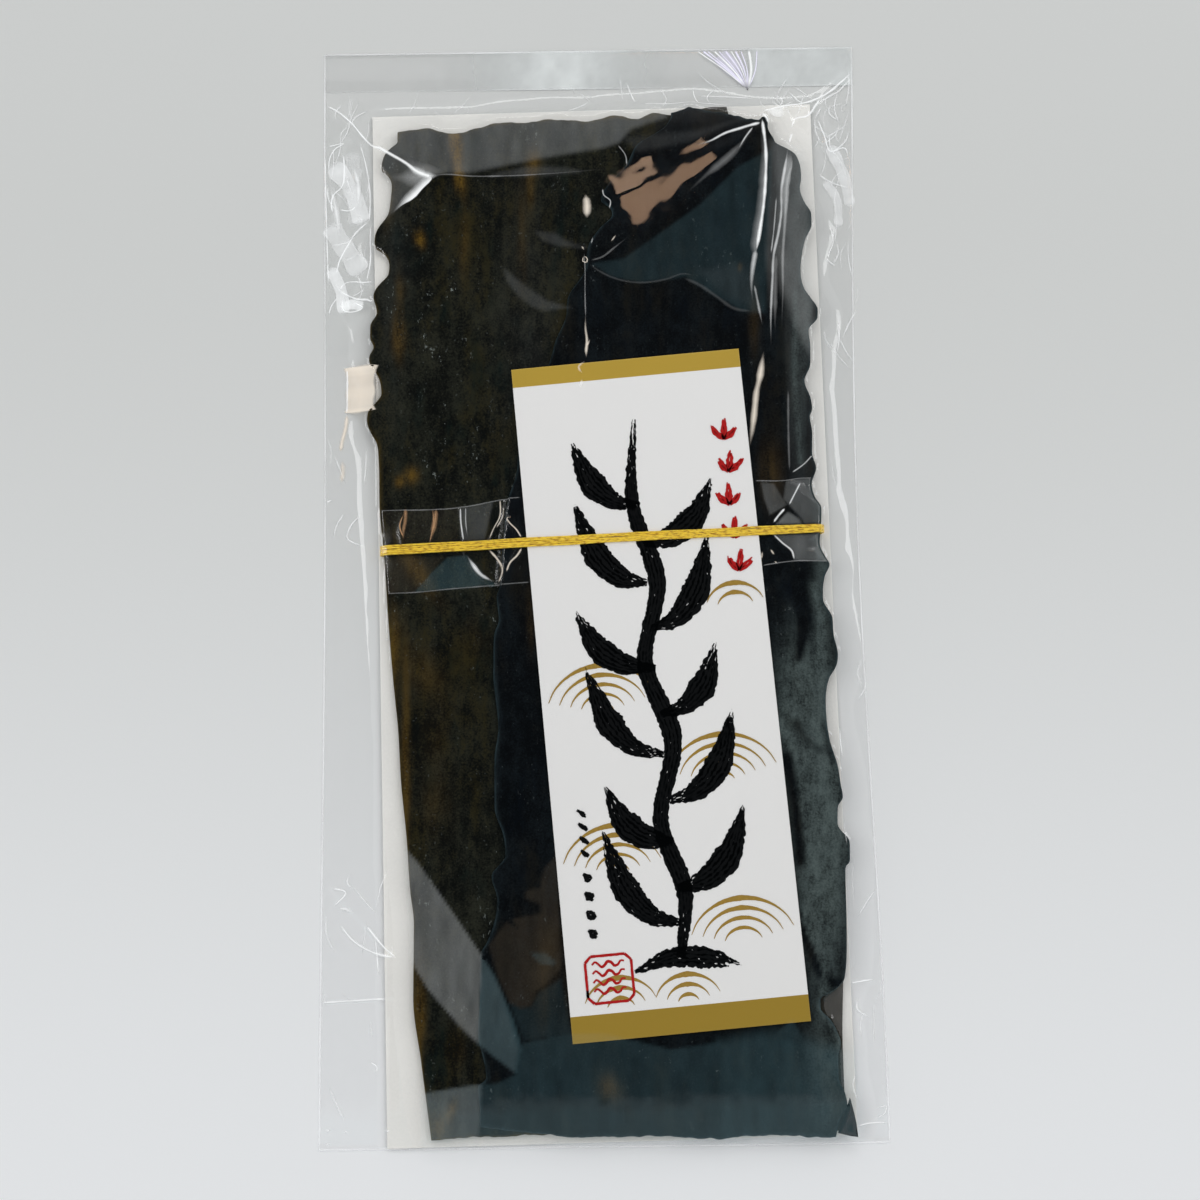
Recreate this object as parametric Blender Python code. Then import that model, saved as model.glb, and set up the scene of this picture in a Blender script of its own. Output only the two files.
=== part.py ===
"""Dried kelp in a sealed clear pouch, lying on its back.

The pouch holds a backing card, overlapping kelp sheets with ruffled sides, a label card and an elastic
loop, all pressed flat under the film. It is one closed solid with the outer form of the filled pouch: a
flat underside, thin film margins, a doubled header, and the contents standing up in steps under the film.
+X is to the right, +Y towards the header, and the origin is on the underside, in the middle of the pouch.
"""

import math

import bmesh
import bpy
from mathutils import Matrix, Vector

MM = 0.001

# Pouch film, sealed all round, with its top folded over
POUCH_WIDTH = 169.5
POUCH_LENGTH = 340.0
WAIST = 3.6                 # how far the filled pouch draws its right side in
WAIST_UP = 25.0             # how far up the pouch its waist lies
LEFT_WAIST = 0.8
MARGIN_HEIGHT = 1.1
MARGIN_WAVE = 0.15
HEADER_DEPTH = 13.0
HEADER_HEIGHT = 1.9
HEADER_STEP = 1.2
SIDE_SLOPE = 3.4            # width of the film's slope beside the contents
END_SLOPE = 1.8             # length of its slope below the contents

# Kelp sheets: the olive one lies at the left, the dark one over it at the right
KELP_TOP = 145.5
KELP_BOTTOM = -166.5
OLIVE_HEIGHT = 4.7
DARK_HEIGHT = 6.4
OVERLAP_SLOPE = 2.2
KELP_WAVE = 0.28

# The sides of the sheets, as (distance up the pouch, distance to the right), from top to bottom
OLIVE_SIDE = (
    (145, -64.5), (136, -66), (126, -63), (116, -64), (107, -68.5), (99, -63.5), (88, -68), (78, -69.5),
    (66, -69), (58, -66), (50, -70.5), (38, -67), (12, -66), (-12, -64), (-45, -61), (-94, -57),
    (-127, -56.5), (-144, -54), (-167, -51),
)
OVERLAP_SIDE = (
    (147, 25.5), (137, 14.5), (126, 7.5), (118, 3), (115, 6.5), (105, -0.5), (95, -2.5), (86, -8),
    (74, -11.5), (65, -14), (46, -23), (31, -24.5), (11, -28.5), (-46, -30.5), (-69, -31.5), (-78, -29),
    (-90, -32.5), (-114, -36), (-135, -37), (-147, -34.5), (-152, -37), (-167, -36.5),
)
DARK_SIDE = (
    (144, 57), (134, 64), (125, 66), (112, 69), (101, 65.5), (81, 70), (75, 67), (59, 65.5), (30, 68),
    (26, 66.5), (17, 69), (2, 71), (-8, 69), (-28, 73), (-42, 69), (-60, 72), (-68, 73), (-76, 71.3),
    (-84, 74.7), (-90, 73), (-125, 72), (-155, 71), (-167, 74.5),
)

# Label card on the dark sheet, and the elastic loop round the kelp and the label
LABEL_WIDTH = 70.5
LABEL_LENGTH = 204.0
LABEL_CENTRE = (18.0, -34.6)
LABEL_TURN = math.radians(4.64)
LABEL_HEIGHT = 7.15
LABEL_SINK = 1.5            # how deep the label's block reaches below the olive sheet's top
ELASTIC_UP = 11.1
ELASTIC_SLANT = 0.036
ELASTIC_WIDTH = 3.0
ELASTIC_RISE = 1.3
ELASTIC_SLOPE = 1.6         # width of the film's slope at each side of the elastic
SLANT_REACH = 40.0          # how far from the elastic the grid's rows turn level again

# Pulled creases in the film at the two upper corners, as (right, up) points
CREASES = (
    ((-84.0, 154.0), (-67.0, 137.0), (-52.0, 126.5), (-61.0, 116.0)),
    ((84.0, 161.0), (66.0, 151.7), (54.5, 146.0), (55.5, 125.0), (49.0, 98.0)),
)
CREASE_HEIGHT = 0.7
CREASE_WIDTH = 2.4

# Grid cells between the lines that follow the sides and the steps
COLUMN_CELLS = (3, 2, 7, 2, 20, 2, 3)
ROW_CELLS = (1, 1, 46, 1, 1, 1, 1, 35, 2, 2, 1, 3)


def ease(value):
    """Smooth 0 to 1 step of a value clipped to 0 to 1."""
    value = min(max(value, 0.0), 1.0)
    return value * value * (3.0 - 2.0 * value)


def side(points, up):
    """How far right a side lies at a place up the pouch, easing from each of its points to the next."""
    if up >= points[0][0]:
        return points[0][1]
    for (upper, right_above), (lower, right_below) in zip(points, points[1:]):
        if up >= lower:
            return right_below + (right_above - right_below) * ease((up - lower) / (upper - lower))
    return points[-1][1]


def pouch_left(up):
    """The pouch's left side, very slightly drawn in at its middle."""
    return -POUCH_WIDTH / 2 + LEFT_WAIST * math.cos(math.pi * up / POUCH_LENGTH) ** 2


def pouch_right(up):
    """The pouch's right side, drawn in beside the thick contents."""
    length = POUCH_LENGTH + 2 * WAIST_UP
    return POUCH_WIDTH / 2 - WAIST * math.cos(math.pi * (up - WAIST_UP) / length) ** 2


def elastic_line(right):
    """How far up the elastic lies at a place to the right: it slants a little."""
    return ELASTIC_UP + ELASTIC_SLANT * right


def spread(lines, cells):
    """Values that divide each gap between neighbouring lines into its number of equal cells."""
    values = [lines[0]]
    for start, end, count in zip(lines, lines[1:], cells):
        values += [start + (end - start) * step / count for step in range(1, count + 1)]
    return values


def row_lines():
    """Places up the pouch where its form changes: hems, kelp ends, elastic and header."""
    half = ELASTIC_WIDTH / 2
    return (
        -POUCH_LENGTH / 2,
        KELP_BOTTOM - END_SLOPE,
        KELP_BOTTOM,
        ELASTIC_UP - half - ELASTIC_SLOPE,
        ELASTIC_UP - half,
        ELASTIC_UP,
        ELASTIC_UP + half,
        ELASTIC_UP + half + ELASTIC_SLOPE,
        KELP_TOP,
        KELP_TOP + SIDE_SLOPE,
        POUCH_LENGTH / 2 - HEADER_DEPTH - HEADER_STEP,
        POUCH_LENGTH / 2 - HEADER_DEPTH,
        POUCH_LENGTH / 2,
    )


def column_lines(up):
    """Places to the right, at one row, where the form changes: hems, kelp sides and the overlap."""
    olive = side(OLIVE_SIDE, up)
    overlap = side(OVERLAP_SIDE, up)
    dark = side(DARK_SIDE, up)
    return (
        pouch_left(up),
        olive - SIDE_SLOPE,
        olive,
        overlap - OVERLAP_SLOPE,
        overlap,
        dark,
        dark + SIDE_SLOPE,
        pouch_right(up),
    )


def crease_height(right, up):
    """Height of the pulled film creases above the film beside them."""
    here = Vector((right, up))
    nearest = CREASE_WIDTH
    for crease in CREASES:
        for start, end in zip(crease, crease[1:]):
            first = Vector(start)
            along = Vector(end) - first
            reach = min(max((here - first).dot(along) / along.length_squared, 0.0), 1.0)
            nearest = min(nearest, (here - first - along * reach).length)
    return CREASE_HEIGHT * ease(1.0 - nearest / CREASE_WIDTH)


def margin_height(right, up):
    """Height of the empty film: a flat margin that steps up to the doubled header."""
    height = MARGIN_HEIGHT + MARGIN_WAVE * math.sin(up / 11.0) * math.cos(right / 9.0)
    past_step = up - (POUCH_LENGTH / 2 - HEADER_DEPTH - HEADER_STEP)
    return height + (HEADER_HEIGHT - MARGIN_HEIGHT) * ease(past_step / HEADER_STEP)


def kelp_height(right, up):
    """Height of the film over the kelp: the dark sheet steps up over the olive one, and both wave."""
    past_olive = right - side(OVERLAP_SIDE, up) + OVERLAP_SLOPE
    height = OLIVE_HEIGHT + (DARK_HEIGHT - OLIVE_HEIGHT) * ease(past_olive / OVERLAP_SLOPE)
    wave = math.sin(right / 7.3 + 0.8 * math.sin(up / 31.0)) * math.cos(up / 19.0 + right / 40.0)
    return height + KELP_WAVE * wave


def film_height(right, up):
    """Height of the film over the margins and the kelp, without the label and the elastic."""
    inside = min(
        (right - side(OLIVE_SIDE, up)) / SIDE_SLOPE,
        (side(DARK_SIDE, up) - right) / SIDE_SLOPE,
        (KELP_TOP - up) / SIDE_SLOPE,
        (up - KELP_BOTTOM) / END_SLOPE,
    )
    margin = margin_height(right, up)
    height = margin + (kelp_height(right, up) - margin) * ease(1.0 + inside)
    return height + crease_height(right, up)


def is_on_label(right, up):
    """Whether a place lies between the label card's two long sides."""
    offset = Matrix.Rotation(-LABEL_TURN, 2) @ (Vector((right, up)) - Vector(LABEL_CENTRE))
    return abs(offset.x) < LABEL_WIDTH / 2


def elastic_ridge(right, up):
    """Weight from 0 beside the elastic to 1 on it, which fades out where it turns down at the kelp sides."""
    from_sides = min(right - side(OLIVE_SIDE, up), side(DARK_SIDE, up) - right)
    from_line = abs(up - elastic_line(right)) - ELASTIC_WIDTH / 2
    return ease(from_sides / ELASTIC_SLOPE) * ease(1.0 - from_line / ELASTIC_SLOPE)


def pouch_height(right, up):
    """Height of the filled pouch, with the elastic's ridge standing on the kelp and on the label."""
    height = film_height(right, up)
    ridge = elastic_ridge(right, up)
    if is_on_label(right, up):
        height += (max(height, LABEL_HEIGHT) - height) * ridge
    return height + ELASTIC_RISE * ridge


def make_filled_pouch():
    """The pouch as a grid whose lines follow the sides and steps, raised to the film and closed below."""
    rows = spread(row_lines(), ROW_CELLS)
    across = sum(COLUMN_CELLS)
    along = sum(ROW_CELLS)
    shape = bmesh.new()
    bmesh.ops.create_grid(shape, x_segments=across, y_segments=along, size=0.5)
    raised = bmesh.ops.extrude_face_region(shape, geom=list(shape.faces))
    upper = {item for item in raised["geom"] if isinstance(item, bmesh.types.BMVert)}
    for vertex in shape.verts:
        column = round((vertex.co.x + 0.5) * across)
        up = rows[round((vertex.co.y + 0.5) * along)]
        right = spread(column_lines(up), COLUMN_CELLS)[column]
        slanted = 1.0 - ease(abs(up - ELASTIC_UP) / SLANT_REACH)
        up += (elastic_line(right) - ELASTIC_UP) * slanted
        height = pouch_height(right, up) if vertex in upper else 0.0
        vertex.co = Vector((right, up, height)) * MM
    underside = [face for face in shape.faces if upper.isdisjoint(face.verts)]
    bmesh.ops.dissolve_faces(shape, faces=underside)
    bmesh.ops.recalc_face_normals(shape, faces=list(shape.faces))
    mesh = bpy.data.meshes.new("pouch")
    shape.to_mesh(mesh)
    shape.free()
    return bpy.data.objects.new("pouch", mesh)


def make_label_block():
    """The label card with what lies under it, down into the kelp: joined to the pouch by a Boolean."""
    shape = bmesh.new()
    bmesh.ops.create_cube(shape, size=1.0)
    depth = LABEL_HEIGHT - OLIVE_HEIGHT + LABEL_SINK
    bmesh.ops.scale(shape, vec=Vector((LABEL_WIDTH, LABEL_LENGTH, depth)) * MM, verts=list(shape.verts))
    mesh = bpy.data.meshes.new("label_block")
    shape.to_mesh(mesh)
    shape.free()
    block = bpy.data.objects.new("label_block", mesh)
    block.location = Vector((*LABEL_CENTRE, LABEL_HEIGHT - depth / 2)) * MM
    block.rotation_euler.z = LABEL_TURN
    block.hide_render = True
    block.display_type = "WIRE"
    return block


def make_film_material():
    """Clear glossy film with the dark kelp showing through it."""
    material = bpy.data.materials.new("film_over_kelp")
    material.use_nodes = True
    shader = material.node_tree.nodes["Principled BSDF"]
    shader.inputs["Base Color"].default_value = (0.05, 0.055, 0.045, 1.0)
    shader.inputs["Roughness"].default_value = 0.25
    shader.inputs["Metallic"].default_value = 0.0
    return material


def new_collection(name):
    """An empty collection linked to the scene."""
    collection = bpy.data.collections.new(name)
    bpy.context.scene.collection.children.link(collection)
    return collection


def main():
    """Build the filled pouch as one closed solid."""
    for item in list(bpy.data.objects):
        bpy.data.objects.remove(item, do_unlink=True)
    pouch = make_filled_pouch()
    label_block = make_label_block()
    pouch.data.materials.append(make_film_material())
    new_collection("dried_kelp_pouch").objects.link(pouch)
    new_collection("cutters").objects.link(label_block)
    union = pouch.modifiers.new("label", "BOOLEAN")
    union.operation = "UNION"
    union.object = label_block


main()
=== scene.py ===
"""Dried kelp in a sealed clear pouch, lying face up.

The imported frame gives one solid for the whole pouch. This script replaces it with what the pouch really is:
film with its folds and creases, a backing card, overlapping kelp sheets, a clear wrapper strip, a printed
label card and a gold elastic loop. Sizes are in millimetres and become metres when a mesh is made. "right"
runs along +X, "up" along +Y towards the pouch's header, and heights run along +Z from the floor.
"""

from __future__ import annotations

import logging
import math
from collections.abc import Callable, Sequence
from dataclasses import dataclass
from enum import Enum

import bpy
import numpy as np
from mathutils import Matrix, Vector

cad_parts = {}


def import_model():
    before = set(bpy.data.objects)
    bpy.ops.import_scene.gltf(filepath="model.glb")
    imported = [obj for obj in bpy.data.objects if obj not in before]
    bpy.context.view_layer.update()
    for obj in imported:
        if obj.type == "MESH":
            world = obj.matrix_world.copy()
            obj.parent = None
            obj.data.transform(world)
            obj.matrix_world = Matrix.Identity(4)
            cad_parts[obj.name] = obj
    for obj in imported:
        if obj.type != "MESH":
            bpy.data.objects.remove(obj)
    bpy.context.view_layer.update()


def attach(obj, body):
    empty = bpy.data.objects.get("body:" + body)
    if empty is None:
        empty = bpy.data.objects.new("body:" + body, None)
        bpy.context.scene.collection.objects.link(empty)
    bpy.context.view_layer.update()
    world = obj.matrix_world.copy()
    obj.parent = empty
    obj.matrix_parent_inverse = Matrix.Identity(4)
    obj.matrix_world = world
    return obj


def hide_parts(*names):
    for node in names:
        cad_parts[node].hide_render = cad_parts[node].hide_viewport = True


LOG = logging.getLogger("kelp_pouch")
MM = 0.001
BODY = "root"
NODE = "pouch"


# ---------------------------------------------------------------------------------------------------
# Numbers over the pouch: side lines, smooth random fields and eased steps
# ---------------------------------------------------------------------------------------------------


def ease(value: np.ndarray | float) -> np.ndarray:
    """Turn a value into a smooth step, 0 below 0 and 1 above 1.

    Args:
        value: Numbers of any range.

    Returns:
        The eased numbers, from 0 to 1.
    """
    clipped = np.clip(value, 0.0, 1.0)
    return clipped * clipped * (3.0 - 2.0 * clipped)


def bell(distance: np.ndarray, reach: float) -> np.ndarray:
    """Weight that falls off smoothly with distance.

    Args:
        distance: Distances from the middle of the bell.
        reach: Distance at which the weight has fallen to 37%.

    Returns:
        Weights from 0 to 1.
    """
    return np.exp(-((distance / reach) ** 2))


class SideLine:
    """A smooth line through a few chosen points, read as one coordinate against the other."""

    def __init__(self, points: Sequence[tuple[float, float]], springy: bool = False) -> None:
        """Keep the points in rising order, with a slope at each.

        Args:
            points: Pairs of (place along the line, offset of the line there).
            springy: Whether the line may swing past its points, as a bent lath does.
        """
        ordered = np.array(sorted(points), dtype=float)
        self.along = ordered[:, 0]
        self.offset = ordered[:, 1]
        self.slope = np.gradient(self.offset, self.along)
        if not springy:
            rises = np.diff(self.offset) / np.diff(self.along)
            before, after = rises[:-1], rises[1:]
            least = np.minimum(np.abs(before), np.abs(after)) * (before * after > 0)
            limit = np.concatenate([[abs(rises[0])], 2.5 * least, [abs(rises[-1])]])
            self.slope = np.clip(self.slope, -limit, limit)

    def at(self, along: np.ndarray | float) -> np.ndarray:
        """Offset of the line at any places along it.

        Args:
            along: Places along the line, held to its two ends.

        Returns:
            The line's offsets there.
        """
        place = np.clip(along, self.along[0], self.along[-1])
        index = np.clip(np.searchsorted(self.along, place) - 1, 0, len(self.along) - 2)
        gap = self.along[index + 1] - self.along[index]
        step = (place - self.along[index]) / gap
        rise = self.offset[index + 1] - self.offset[index]
        first = self.slope[index] * gap
        last = self.slope[index + 1] * gap
        bend = (first + last - 2.0 * rise) * step + (3.0 * rise - 2.0 * first - last)
        return self.offset[index] + step * (first + step * bend)


@dataclass(frozen=True)
class SmoothField:
    """Smooth random field with features of a given size, the same on every run."""

    seed: int
    across: float
    along: float
    octaves: int = 1

    def at(self, right: np.ndarray, up: np.ndarray) -> np.ndarray:
        """Value of the field at each place.

        Args:
            right: Distances to the right, in mm.
            up: Distances up the pouch, in mm.

        Returns:
            Values from about -1 to 1.
        """
        total = np.zeros(np.broadcast(right, up).shape)
        for octave in range(self.octaves):
            scale = 2.0**octave
            lattice = np.random.default_rng(self.seed + octave).uniform(-1.0, 1.0, (128, 128))
            total += self._layer(lattice, right / self.across * scale, up / self.along * scale) / scale
        return total

    @staticmethod
    def _layer(lattice: np.ndarray, column: np.ndarray, row: np.ndarray) -> np.ndarray:
        """Read a lattice of random numbers with eased interpolation.

        Args:
            lattice: Square array of random numbers, which repeats.
            column: Places across, in lattice steps.
            row: Places along, in lattice steps.

        Returns:
            The interpolated numbers.
        """
        left = np.floor(column).astype(int)
        low = np.floor(row).astype(int)
        size = len(lattice)
        x = ease(column - left)
        y = ease(row - low)
        lower = lattice[low % size, left % size] * (1 - x) + lattice[low % size, (left + 1) % size] * x
        upper = lattice[(low + 1) % size, left % size] * (1 - x)
        upper = upper + lattice[(low + 1) % size, (left + 1) % size] * x
        return lower * (1 - y) + upper * y


def smooth_path(points: Sequence[tuple[float, float]], pitch: float) -> np.ndarray:
    """Sample a smooth curve through chosen points.

    Args:
        points: Places (right, up) that the curve passes through.
        pitch: Distance between neighbouring samples, in mm.

    Returns:
        Array of sampled places, one row each.
    """
    corners = np.array(points, dtype=float)
    reach = np.concatenate([[0.0], np.cumsum(np.hypot(*np.diff(corners, axis=0).T))])
    places = np.linspace(0.0, reach[-1], max(int(reach[-1] / pitch), 2) + 1)
    right = SideLine(list(zip(reach, corners[:, 0])), springy=True).at(places)
    up = SideLine(list(zip(reach, corners[:, 1])), springy=True).at(places)
    return np.column_stack([right, up])


# ---------------------------------------------------------------------------------------------------
# Meshes
# ---------------------------------------------------------------------------------------------------


@dataclass
class Surface:
    """Points and faces of one piece, in mm, with optional values for its shader to read."""

    points: np.ndarray
    faces: np.ndarray
    marks: dict[str, np.ndarray]

    @classmethod
    def from_grid(cls, right: np.ndarray, up: np.ndarray, height: np.ndarray, **marks: np.ndarray) -> Surface:
        """Make a surface from three arrays laid out in rows and columns.

        Args:
            right: Distances to the right.
            up: Distances up the pouch.
            height: Heights.
            **marks: Values at each point, by the name that the shader reads.

        Returns:
            The surface, with its faces pointing up.
        """
        rows, columns = right.shape
        corner = np.arange(rows * columns).reshape(rows, columns)
        faces = np.stack([corner[:-1, :-1], corner[:-1, 1:], corner[1:, 1:], corner[1:, :-1]], axis=-1)
        points = np.stack([right, up, height], axis=-1).reshape(-1, 3)
        return cls(points, faces.reshape(-1, 4), {name: mark.reshape(-1) for name, mark in marks.items()})

    def joined(self, other: Surface) -> Surface:
        """This surface and another as one, with both sets of marks.

        Args:
            other: The surface to add.

        Returns:
            The joined surface.
        """
        marks = {name: np.concatenate([mark, other.marks[name]]) for name, mark in self.marks.items()}
        faces = np.concatenate([self.faces, other.faces + len(self.points)])
        return Surface(np.concatenate([self.points, other.points]), faces, marks)

    def piece(self, name: str, material: bpy.types.Material, slot: str) -> bpy.types.Object:
        """Make the Blender object, dress it and set it to ride on the pouch's body.

        Args:
            name: The object's name.
            material: Its finish.
            slot: The record's material slot that the finish belongs to; not used.

        Returns:
            The new object.
        """
        mesh = bpy.data.meshes.new(name)
        mesh.from_pydata((self.points * MM).tolist(), [], self.faces.tolist())
        for mark, values in self.marks.items():
            attribute = mesh.attributes.new(mark, "FLOAT", "POINT")
            attribute.data.foreach_set("value", values.astype(np.float32))
        mesh.shade_smooth()
        mesh.materials.append(material)
        made = bpy.data.objects.new(name, mesh)
        bpy.context.scene.collection.objects.link(made)
        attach(made, BODY)
        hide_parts(NODE)
        LOG.info("%s: %d faces", name, len(mesh.polygons))
        return made


# ---------------------------------------------------------------------------------------------------
# Shader making
# ---------------------------------------------------------------------------------------------------


class Term:
    """A shader value that is added, multiplied and subtracted like a number."""

    def __init__(self, shader: Shader, socket: bpy.types.NodeSocket) -> None:
        """Wrap an output socket.

        Args:
            shader: The shader that the socket belongs to.
            socket: The output socket.
        """
        self.shader = shader
        self.socket = socket

    def _join(self, operation: str, first: Term | float, second: Term | float) -> Term:
        """Add a Math node.

        Args:
            operation: The node's operation.
            first: Its first value.
            second: Its second value.

        Returns:
            The node's result.
        """
        return self.shader.node("ShaderNodeMath", {"operation": operation}, {0: first, 1: second})

    def __add__(self, other: Term | float) -> Term:
        """Sum."""
        return self._join("ADD", self, other)

    def __radd__(self, other: float) -> Term:
        """Sum with a number on the left."""
        return self._join("ADD", other, self)

    def __sub__(self, other: Term | float) -> Term:
        """Difference."""
        return self._join("SUBTRACT", self, other)

    def __rsub__(self, other: float) -> Term:
        """Difference from a number on the left."""
        return self._join("SUBTRACT", other, self)

    def __mul__(self, other: Term | float) -> Term:
        """Product."""
        return self._join("MULTIPLY", self, other)

    def __rmul__(self, other: float) -> Term:
        """Product with a number on the left."""
        return self._join("MULTIPLY", other, self)

    def __truediv__(self, other: Term | float) -> Term:
        """Quotient."""
        return self._join("DIVIDE", self, other)

    def __pow__(self, other: float) -> Term:
        """Power."""
        return self._join("POWER", self, other)

    def size(self) -> Term:
        """Absolute value."""
        return self._join("ABSOLUTE", self, 0.0)

    def step(self, low: float, high: float) -> Term:
        """Eased step of this value between two limits.

        Args:
            low: The value at which the step starts.
            high: The value at which it has reached 1.

        Returns:
            A value from 0 to 1.
        """
        settings = {"interpolation_type": "SMOOTHSTEP"}
        sockets = {"Value": self, "From Min": low, "From Max": high}
        return self.shader.node("ShaderNodeMapRange", settings, sockets)


Colour = tuple[float, float, float]
SocketValue = Term | float | tuple[float, ...]
Heights = Callable[[np.ndarray, np.ndarray], np.ndarray]


class Shader:
    """A material or world under construction."""

    def __init__(self, tree: bpy.types.NodeTree) -> None:
        """Start from an empty node tree.

        Args:
            tree: The node tree to fill.
        """
        self.tree = tree
        self.tree.nodes.clear()

    def node(
        self,
        kind: str,
        settings: dict[str, object] | None = None,
        sockets: dict[str | int, SocketValue] | None = None,
        output: str | int = 0,
    ) -> Term:
        """Add a node, with its settings first and then its sockets.

        Args:
            kind: The node's type name.
            settings: The node's own settings. "stops" fills a colour ramp.
            sockets: Values or links, by socket name or number.
            output: The output to return.

        Returns:
            The chosen output.
        """
        made = self.tree.nodes.new(kind)
        for name, value in (settings or {}).items():
            setattr(made, name, value)
        for name, value in (sockets or {}).items():
            socket = made.inputs[name]
            if isinstance(value, Term):
                self.tree.links.new(value.socket, socket)
            elif isinstance(value, tuple) and len(value) == 3 and len(socket.default_value) == 4:
                socket.default_value = (*value, 1.0)
            else:
                socket.default_value = value
        return Term(self, made.outputs[output] if len(made.outputs) else None)

    def mark(self, name: str) -> Term:
        """A value that the piece's mesh carries at its points."""
        return self.node("ShaderNodeAttribute", {"attribute_name": name}, output="Fac")

    def place(self) -> Term:
        """Place on the piece, in metres."""
        return self.node("ShaderNodeTexCoord", output="Object")

    def stretched(self, place: Term, factors: tuple[float, float, float]) -> Term:
        """Scale a place by a factor in each direction."""
        return self.node("ShaderNodeVectorMath", {"operation": "MULTIPLY"}, {0: place, 1: factors})

    def noise(self, place: Term, size_mm: float, detail: float = 2.0, roughness: float = 0.5) -> Term:
        """Cloudy noise.

        Args:
            place: Where to read it.
            size_mm: Size of its features.
            detail: How many finer layers it has.
            roughness: How strong the finer layers are.

        Returns:
            A value from 0 to 1, mostly near 0.5.
        """
        sockets = {"Vector": place, "Scale": 1.0 / (size_mm * MM), "Detail": detail, "Roughness": roughness}
        return self.node("ShaderNodeTexNoise", None, sockets)

    def mix(self, factor: Term | float, first: Term | Colour, second: Term | Colour) -> Term:
        """Blend two colours.

        Args:
            factor: 0 gives the first colour and 1 the second.
            first: The first colour.
            second: The second colour.

        Returns:
            The blended colour.
        """
        sockets = {0: factor, 6: first, 7: second}
        return self.node("ShaderNodeMix", {"data_type": "RGBA"}, sockets, output=2)

    def bump(self, height: Term, depth_mm: float, strength: float = 1.0) -> Term:
        """Relief of a given depth for a height from 0 to 1."""
        return self.node("ShaderNodeBump", None, {"Height": height, "Distance": depth_mm * MM, "Strength": strength})

    def surface(self, shader: Term) -> None:
        """Link a shader to the tree's output."""
        output = self.tree.nodes.new("ShaderNodeOutputMaterial")
        self.tree.links.new(shader.socket, output.inputs["Surface"])


def new_material(name: str) -> tuple[bpy.types.Material, Shader]:
    """An empty material and the shader that fills it."""
    material = bpy.data.materials.new(name)
    material.use_nodes = True
    return material, Shader(material.node_tree)


# ---------------------------------------------------------------------------------------------------
# Finishes
# ---------------------------------------------------------------------------------------------------


@dataclass(frozen=True)
class KelpFinish:
    """Dried kelp: dark cloudy colour with streaks, warm thin places, salt specks, a pale rim, and paler patches that
    are partly bloom and partly painted sheen.
    """

    name: str
    deep: Colour
    cloudy: Colour
    brown: Colour
    warm: Colour
    rim: Colour
    bloom: Colour
    cool: Colour
    salt: Colour = (0.26, 0.29, 0.27)
    roughness: float = 0.5

    def material(self) -> bpy.types.Material:
        """Build the material.

        Returns:
            The kelp material.
        """
        material, shader = new_material(self.name)
        place = shader.place()
        streaked = shader.stretched(place, (1.0, 0.16, 1.0))
        clouds = shader.noise(place, 14.0, 5.0, 0.62)
        streaks = shader.noise(streaked, 5.0, 4.0, 0.6)
        fine = shader.noise(streaked, 1.1, 3.0, 0.7)
        grain = shader.noise(place, 0.6, 2.0, 0.6)
        mottle = shader.noise(shader.stretched(place, (1.0, 0.6, 1.0)), 2.6, 4.0, 0.7)
        tone = clouds + streaks * 0.7 + mottle * 0.8 + grain * 0.9
        colour = shader.mix(tone.step(1.45, 2.15), self.deep, self.cloudy)
        browned = shader.noise(shader.stretched(place, (1.0, 0.3, 1.0)), 9.0, 3.0, 0.6)
        colour = shader.mix((browned + mottle * 0.5 + grain * 0.4).step(0.9, 1.3), colour, self.brown)
        chilled = shader.noise(shader.stretched(place, (1.0, 0.4, 1.0)), 7.0, 3.0, 0.6)
        colour = shader.mix((chilled + grain * 0.3).step(0.66, 0.95) * 0.7, colour, self.cool)
        warmth = shader.mark("warm") * (streaks * 1.1 + clouds * 0.5 + grain * 0.5).step(0.66, 1.3)
        colour = shader.mix(warmth, colour, self.warm)
        # Paler grey-green patches: partly bloom on the kelp, partly painted sheen where light would catch its ruffles
        # and folds.
        bloom_and_sheen_mask = shader.mark("bloom") * (mottle * 0.7 + streaks * 0.6 + grain * 0.5).step(0.5, 1.2)
        colour = shader.mix(bloom_and_sheen_mask, colour, self.bloom)
        specks = shader.noise(shader.stretched(place, (1.0, 0.55, 1.0)), 1.3, 3.0, 0.8).step(0.60, 0.71)
        drifts = shader.noise(shader.stretched(place, (1.0, 0.4, 1.0)), 6.0, 3.0, 0.6).step(0.52, 0.66)
        dots = shader.noise(place, 1.0, 0.0).step(0.80, 0.84)
        salted = specks * drifts * shader.mark("salt") + dots * 0.12
        colour = shader.mix(salted * 0.8, colour, self.salt)
        colour = shader.mix(shader.mark("rim") * (fine * 1.4).step(0.3, 1.0), colour, self.rim)
        relief = streaks * 0.5 + fine * 0.18 + shader.noise(place, 2.4, 3.0) * 0.3
        gloss = self.roughness + (clouds - 0.5) * 0.3 + specks * drifts * 0.25
        sockets = {
            "Base Color": colour,
            "Roughness": gloss,
            "Specular IOR Level": 0.035,
            "Normal": shader.bump(relief, 0.35),
        }
        shader.surface(shader.node("ShaderNodeBsdfPrincipled", None, sockets))
        return material


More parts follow.
